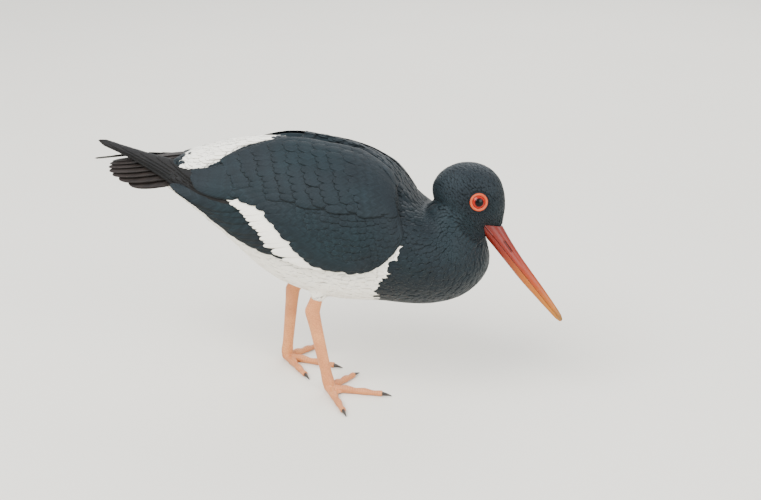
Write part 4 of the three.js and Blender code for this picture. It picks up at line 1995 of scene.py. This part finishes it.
@dataclass
class Eye:
    """An eye with its bare ring.

    Attributes:
        head: The frame it sits in.
        side: Which eye.
        place: Its middle in the head's frame, on the left side.
        radius: The ball's radius.
        turn: How far its axis turns forwards and up, in degrees.
        ring: Degrees from the axis at which the ring begins and ends.
        thick: The ring's thickness.
        bulge: How far the cornea stands out.
    """

    head: Head
    side: Side
    place: Triple = (-25.5, 13.0, 8.5)
    radius: float = 6.6
    turn: Pair = (10.0, 13.0)
    ring: Pair = (44.0, 57.8)
    thick: float = 1.3
    bulge: float = 0.35

    @property
    def middle(self) -> Array:
        """The ball's middle in the bird's frame."""
        x, y, z = self.place
        return self.head.world(np.array([x, y * self.side.value, z]))

    def turned(self, polar: Array, around: Array, radius: Array) -> Surface:
        """A surface of rings round the eye's axis, which is +Y before it is turned.

        Args:
            polar: Angle from the axis.
            around: Angle round it.
            radius: Distance from the ball's middle.

        Returns:
            A closed tube from the first ring to the last.
        """
        side = radius * np.sin(polar)
        points = np.stack([side * np.cos(around), radius * np.cos(polar), side * np.sin(around)], -1)
        forward, up = (math.radians(angle) for angle in self.turn)
        turns = np.array(Matrix.Rotation(-forward, 3, "Z") @ Matrix.Rotation(up, 3, "X"))
        local = (points @ turns.T + np.array(self.place)) * np.array([1.0, self.side.value, 1.0])
        made = capped(self.head.world(local))
        if self.side is Side.LEFT:
            made.faces = made.faces[:, ::-1]
        return made

    def build(self, iris: Material, skin: Material) -> None:
        """Adds the eye and its ring to the scene.

        Args:
            iris: The ball's material.
            skin: The ring's material.
        """
        name = self.side.label
        polar, around = lattice(np.linspace(0.01, math.pi - 0.01, 61), circle(96))
        cornea = self.bulge * (1 - smooth(polar, 0.0, 0.75))
        ball = self.turned(polar, around, self.radius + cornea)
        rows = np.concatenate([polar[:1], polar, polar[-1:]])
        ball.values = {"polar": (rows / (math.pi / 2)).ravel()}
        ball.show(f"eye_{name}_ball", iris, "eye", (f"eye_{name}",))

        low, high = (math.radians(angle) for angle in self.ring)
        turn, around = lattice(np.linspace(0, 2 * math.pi, 25), circle(120))
        share = (1 - np.cos(turn)) / 2
        arch = np.sin(np.minimum(2 * math.pi - turn, math.pi)) ** 0.6
        rise = np.where(turn < math.pi, 0.1, 0.1 + self.thick * arch)
        pimples = 0.09 * np.sin(around * 36 + share * 9) * np.sin(share * 14) * (rise > 0.4)
        ring = self.turned(mix(low, high, share), around, self.radius + rise + pimples)
        ring.show(f"eyelid_{name}_ring", skin, "eye_ring_skin", (f"eyelid_{name}",))


# Legs and feet


@dataclass
class Leg:
    """One bare leg with its foot and claws.

    Attributes:
        side: Which leg.
        knee: The joint hidden in the flank.
        ankle: The joint below it.
        ball: The ball of the foot.
        toes: Each toe's bearing from +X and its length.
        shank: Rows down the leg: share of the way from ankle to ball, half depth and half width.
        toe: A toe's radius at its root and tip, and how much its pads swell.
        claw: A claw's length, radius, tip radius and droop.
        hub: The radius of the foot where the toes meet.
    """

    side: Side
    knee: Triple
    ankle: Triple
    ball: Triple
    toes: dict[str, Pair]
    shank: tuple[Triple, ...] = (
        (-0.24, 4.4, 3.6),
        (-0.13, 4.9, 4.0),
        (-0.06, 5.3, 4.3),
        (0.0, 5.6, 4.5),
        (0.07, 5.4, 4.2),
        (0.2, 5.0, 3.7),
        (0.5, 4.6, 3.3),
        (0.8, 4.3, 3.3),
        (0.93, 4.7, 3.8),
        (1.0, 4.4, 3.9),
    )
    toe: Triple = (3.2, 2.0, 0.1)
    claw: tuple[float, float, float, float] = (7.0, 1.7, 0.25, 1.1)
    hub: float = 4.1

    @property
    def webbed(self) -> tuple[Pair, ...]:
        """The two toes that the web joins."""
        return self.toes["outer"], self.toes["middle"]

    @property
    def stand(self) -> Array:
        """The floor under the ball of the foot."""
        return np.array(self.ball) * np.array([1.0, 1.0, 0.0])

    def thigh(self) -> Thigh:
        """The feathered leg over it."""
        return Thigh(self.knee, self.ankle)

    def shin(self) -> Surface:
        """The bare leg from the thigh's feathers to the foot.

        Returns:
            A closed tube of the shank's ellipses, its upper end in line with the thigh.
        """
        knee, ankle, ball = (np.array(at) for at in (self.knee, self.ankle, self.ball))
        rows = row_at(self.shank, np.linspace(0, len(self.shank) - 1, 60))
        shin = ball - ankle
        up = unit(knee - ankle)
        above = np.maximum(-rows[:, :1], 0) * np.linalg.norm(shin)
        line = ankle + up * above + shin * np.maximum(rows[:, :1], 0)
        return capped(tube_rings(line, rows[:, 1], rows[:, 2], 28))

    def toe_tube(self, bearing: float, length: float) -> Surface:
        """One toe: a tube that swells over its three pads and rests on the floor.

        Args:
            bearing: Its direction, in degrees from +X.
            length: Its length.

        Returns:
            The tube, flattened on the floor.
        """
        root, tip, swell = self.toe
        t = np.linspace(0, 1, 40)
        radius = mix(root, tip, t) * (1 + swell * np.cos(6 * math.pi * t))
        line = self.stand + heading(bearing) * (t * length)[:, None]
        line[:, 2] = radius * 0.86
        rings = tube_rings(line, radius, radius * 1.02, 24)
        rings[..., 2] = np.maximum(rings[..., 2], 0.05)
        return capped(rings)

    def web(self) -> Surface:
        """The short web of skin between the outer and the middle toe.

        Returns:
            A flat fan between the two, its edge drawn in as the sine of the way across.
        """
        outer, middle = (heading(bearing) * length * 0.42 for bearing, length in self.webbed)
        fan, reach = lattice(np.linspace(0, 1, 13), np.linspace(0.05, 1, 11))
        edge = reach * (1 - 0.3 * np.sin(math.pi * fan))
        flat = self.stand + mix(outer, middle, fan[..., None]) * edge[..., None]
        top, low = flat + np.array([0, 0, 1.9]), flat + np.array([0, 0, 0.9])
        return capped(np.concatenate([top, low[:, ::-1]], axis=1))

    def foot_values(self, points: Array) -> dict[str, Array]:
        """What the leg's material reads.

        Args:
            points: Places on the leg.

        Returns:
            How far along its toe each point lies, and whether it is on a toe's upper side.
        """
        ball = np.array(self.ball)
        best = np.full(len(points), 1e9)
        along = np.zeros(len(points))
        for bearing, length in self.toes.values():
            way = heading(bearing)[:2]
            offset = points[:, :2] - ball[:2]
            t = np.clip(offset @ way, 0, length)
            away = np.linalg.norm(offset - t[:, None] * way, axis=1)
            along = np.where(away < best, t, along)
            best = np.minimum(best, away)
        low = 1 - smooth(points[:, 2], 5.5, 9.0)
        return {"scute": along, "toe": low * smooth(points[:, 2], 1.5, 2.6) * smooth(along, 2.0, 5.0)}

    def claw_tube(self, bearing: float, length: float) -> Surface:
        """One claw: a tapering tube that curves down to the floor.

        Args:
            bearing: The toe's direction, in degrees from +X.
            length: The toe's length.

        Returns:
            The tube, which begins inside the toe's end.
        """
        size, radius, tip, droop = self.claw
        t = np.linspace(0, 1, 24)
        thick = mix(radius, tip, t**1.2)
        reach = length - 0.8 + t * (size + 1.1)
        line = self.stand + heading(bearing) * reach[:, None]
        line[:, 2] = np.maximum(1.75 - droop * t**2, thick)
        return capped(tube_rings(line, thick, thick * 0.8, 20))

    def build(self, skin: Material, horn: Material) -> None:
        """Adds the leg, foot and claws to the scene.

        Args:
            skin: The material of the leg and foot.
            horn: The claws' material.
        """
        name = self.side.label
        ball = np.array(self.ball) - np.array([0, 0, 1.2])
        polar, around = lattice(np.linspace(0.02, math.pi - 0.02, 15), circle(24))
        sphere = [np.sin(polar) * np.cos(around), np.sin(polar) * np.sin(around), np.cos(polar)]
        hub = ball + self.hub * np.stack(sphere, -1)
        hub[..., 2] = np.maximum(hub[..., 2], 0.05)
        toes = [self.toe_tube(*toe) for toe in self.toes.values()]
        leg = fused([self.shin(), capped(hub), self.web(), *toes], 0.5, 3)
        leg.points[:, 2] = np.maximum(leg.points[:, 2], 0.0)
        leg.values = self.foot_values(leg.points)
        leg.show(f"leg_{name}_skin", skin, "leg_skin", (f"tarsus_{name}", f"foot_{name}"))
        for toe, place in self.toes.items():
            claw = f"claw_{name}_{toe}"
            self.claw_tube(*place).show(f"{claw}_horn", horn, "claw_horn", (claw,))


# Floor, light and camera


@dataclass(frozen=True)
class Ground(Finish):
    """The plain floor's finish, a little paler in places.

    Attributes:
        base: The floor's colour.
    """

    base: Colour = tint("dcd8ce")

    def dress(self, g: Graph, shader: Node) -> None:
        """Feeds the shader.

        Args:
            g: The builder of the material's tree.
            shader: Its shader.
        """
        paler = tuple(min(c * 1.06, 1.0) for c in self.base)
        g.feed(shader, {"Base Color": g.blend(g.noise(g.place(), 3.0, 2.0), self.base, paler)})


@dataclass(frozen=True)
class Lamp:
    """A soft square light that faces the bird.

    Attributes:
        name: The light's name.
        place: Where it stands, in metres.
        size: The length of its sides.
        power: Its power in watts.
    """

    name: str
    place: Triple
    size: float
    power: float

    def build(self) -> None:
        """Adds the light."""
        light = bpy.data.lights.new(self.name, "AREA")
        light.size = self.size
        light.energy = self.power
        lamp = bpy.data.objects.new(self.name, light)
        lamp.location = self.place
        lamp.rotation_mode = "QUATERNION"
        lamp.rotation_quaternion = (Vector((0, 0, 0.1)) - Vector(self.place)).to_track_quat("-Z", "Y")
        bpy.context.scene.collection.objects.link(lamp)


@dataclass
class Studio:
    """The plain floor, soft lights and the camera at the picture's viewpoint.

    Attributes:
        eye: The camera's place in the bird's frame.
        azimuth: How far round to the bird's front the camera stands, in degrees.
        elevation: How far above the horizon it stands, in degrees.
        lens: Focal length over a sensor 36 mm wide.
        lamps: The lights.
        sky: The colour of the light from all round.
        glow: That light's strength.
    """

    eye: Triple = (224.9, -858.0, 426.2)
    azimuth: float = 12.0
    elevation: float = 20.0
    lens: float = 59.92
    lamps: tuple[Lamp, ...] = (
        Lamp("key", (-0.9, -1.3, 1.9), 1.4, 78.0),
        Lamp("fill", (1.6, -1.2, 1.0), 1.6, 42.0),
        Lamp("back", (0.2, 1.7, 1.5), 1.4, 22.0),
    )
    sky: Colour = (0.93, 0.96, 1.0, 1.0)
    glow: float = 1.6

    def back(self) -> Vector:
        """The direction from the subject to the camera."""
        a, e = math.radians(self.azimuth), math.radians(self.elevation)
        return Vector((math.sin(a) * math.cos(e), -math.cos(a) * math.cos(e), math.sin(e)))

    def build(self) -> None:
        """Adds the camera, floor and lights."""
        scene = bpy.context.scene
        camera = bpy.data.objects.new("camera", bpy.data.cameras.new("camera"))
        scene.collection.objects.link(camera)
        camera.location = Vector(placed(np.array([self.eye]))[0])
        camera.rotation_mode = "QUATERNION"
        camera.rotation_quaternion = (-self.back()).to_track_quat("-Z", "Y")
        camera.data.lens = self.lens
        camera.data.sensor_width = 36.0
        camera.data.clip_start = 0.01
        scene.camera = camera
        self.ground()
        for lamp in self.lamps:
            lamp.build()
        world = bpy.data.worlds.new("studio")
        scene.world = world
        world.use_nodes = True
        background = world.node_tree.nodes["Background"]
        background.inputs["Color"].default_value = self.sky
        background.inputs["Strength"].default_value = self.glow

    def ground(self) -> None:
        """Adds the floor, a wide disc whose rim curves up all round as the square of a smooth step."""
        rings, sides = 60, 96
        radius, angle = lattice(np.linspace(1.0, 7000.0, rings), circle(sides))
        z = -0.2 + 2600 * smooth(radius, 2600.0, 9000.0) ** 2
        dish = np.stack([radius * np.cos(angle), radius * np.sin(angle), z], -1)
        shell = Surface(dish.reshape(-1, 3), grid(rings, sides, closed=True)[:, ::-1])
        floor = bpy.data.objects.new("floor", shell.mesh("floor"))
        bpy.context.scene.collection.objects.link(floor)
        floor.data.materials.append(Ground("pale_floor", 0.85).material())


def main() -> None:
    """Builds the bird and its studio."""
    logging.basicConfig(level=logging.INFO, format="%(name)s: %(message)s", force=True)
    barb_group()
    grain_group()
    coat = Plumage("body_feathers", 0.55, pitch=0.8, relief=0.06).material()
    flight = Plumage("wing_feathers", 0.58).material()
    # Painted shade: the primaries get a darker copy of the tail's brown-black, to make up for the light that
    # falls on them while the tail lies in shade.
    brown = Plumage("primaries", 0.6, dark=tint("14110f"), gloss=tint("1a1715")).material()
    tail = Plumage("tail_feathers", 0.6, dark=tint("231c18"), gloss=tint("2a2320")).material()
    bare = Plumage("skin_under_feathers", 0.8, barbs=False).material()
    bill = BillHorn("bill_horn", 0.42).material()
    leg_skin = LegSkin("leg_skin", 0.5).material()
    claw = Horn("claw_horn", 0.4).material()
    iris = Iris("iris", 0.1).material()
    ring = RingSkin("eye_ring", 0.45).material()

    trunk, head = Trunk(), Head()
    legs = [
        Leg(
            Side.RIGHT,
            (3, -19, 86),
            (-5, -20, 62),
            (8, -24, 5),
            {"outer": (-60, 38), "middle": (0, 41), "inner": (65, 30)},
        ),
        Leg(
            Side.LEFT,
            (-16, 19, 86),
            (-31.5, 21, 62),
            (-38.5, 24, 5),
            {"inner": (-51, 36), "middle": (-10, 41), "outer": (56, 32)},
        ),
    ]
    eyes = [Eye(head, side) for side in Side]
    for eye in eyes:
        eye.build(iris, ring)
    Bill(head).build(bill)
    for leg in legs:
        leg.build(leg_skin, claw)
    Tail().build(tail)
    wings = [Wing(side) for side in Side]
    for wing in wings:
        wing.build(flight, brown)
    thighs = [leg.thigh() for leg in legs]
    mantle = Mantle(wings[0]).surface()
    plumage = Coat(Plan(trunk, head), thighs, [wing.body() for wing in wings], mantle)
    plumage.build(coat, bare, np.array([eye.middle for eye in eyes]))
    Studio().build()


if __name__ == "__main__":
    main()
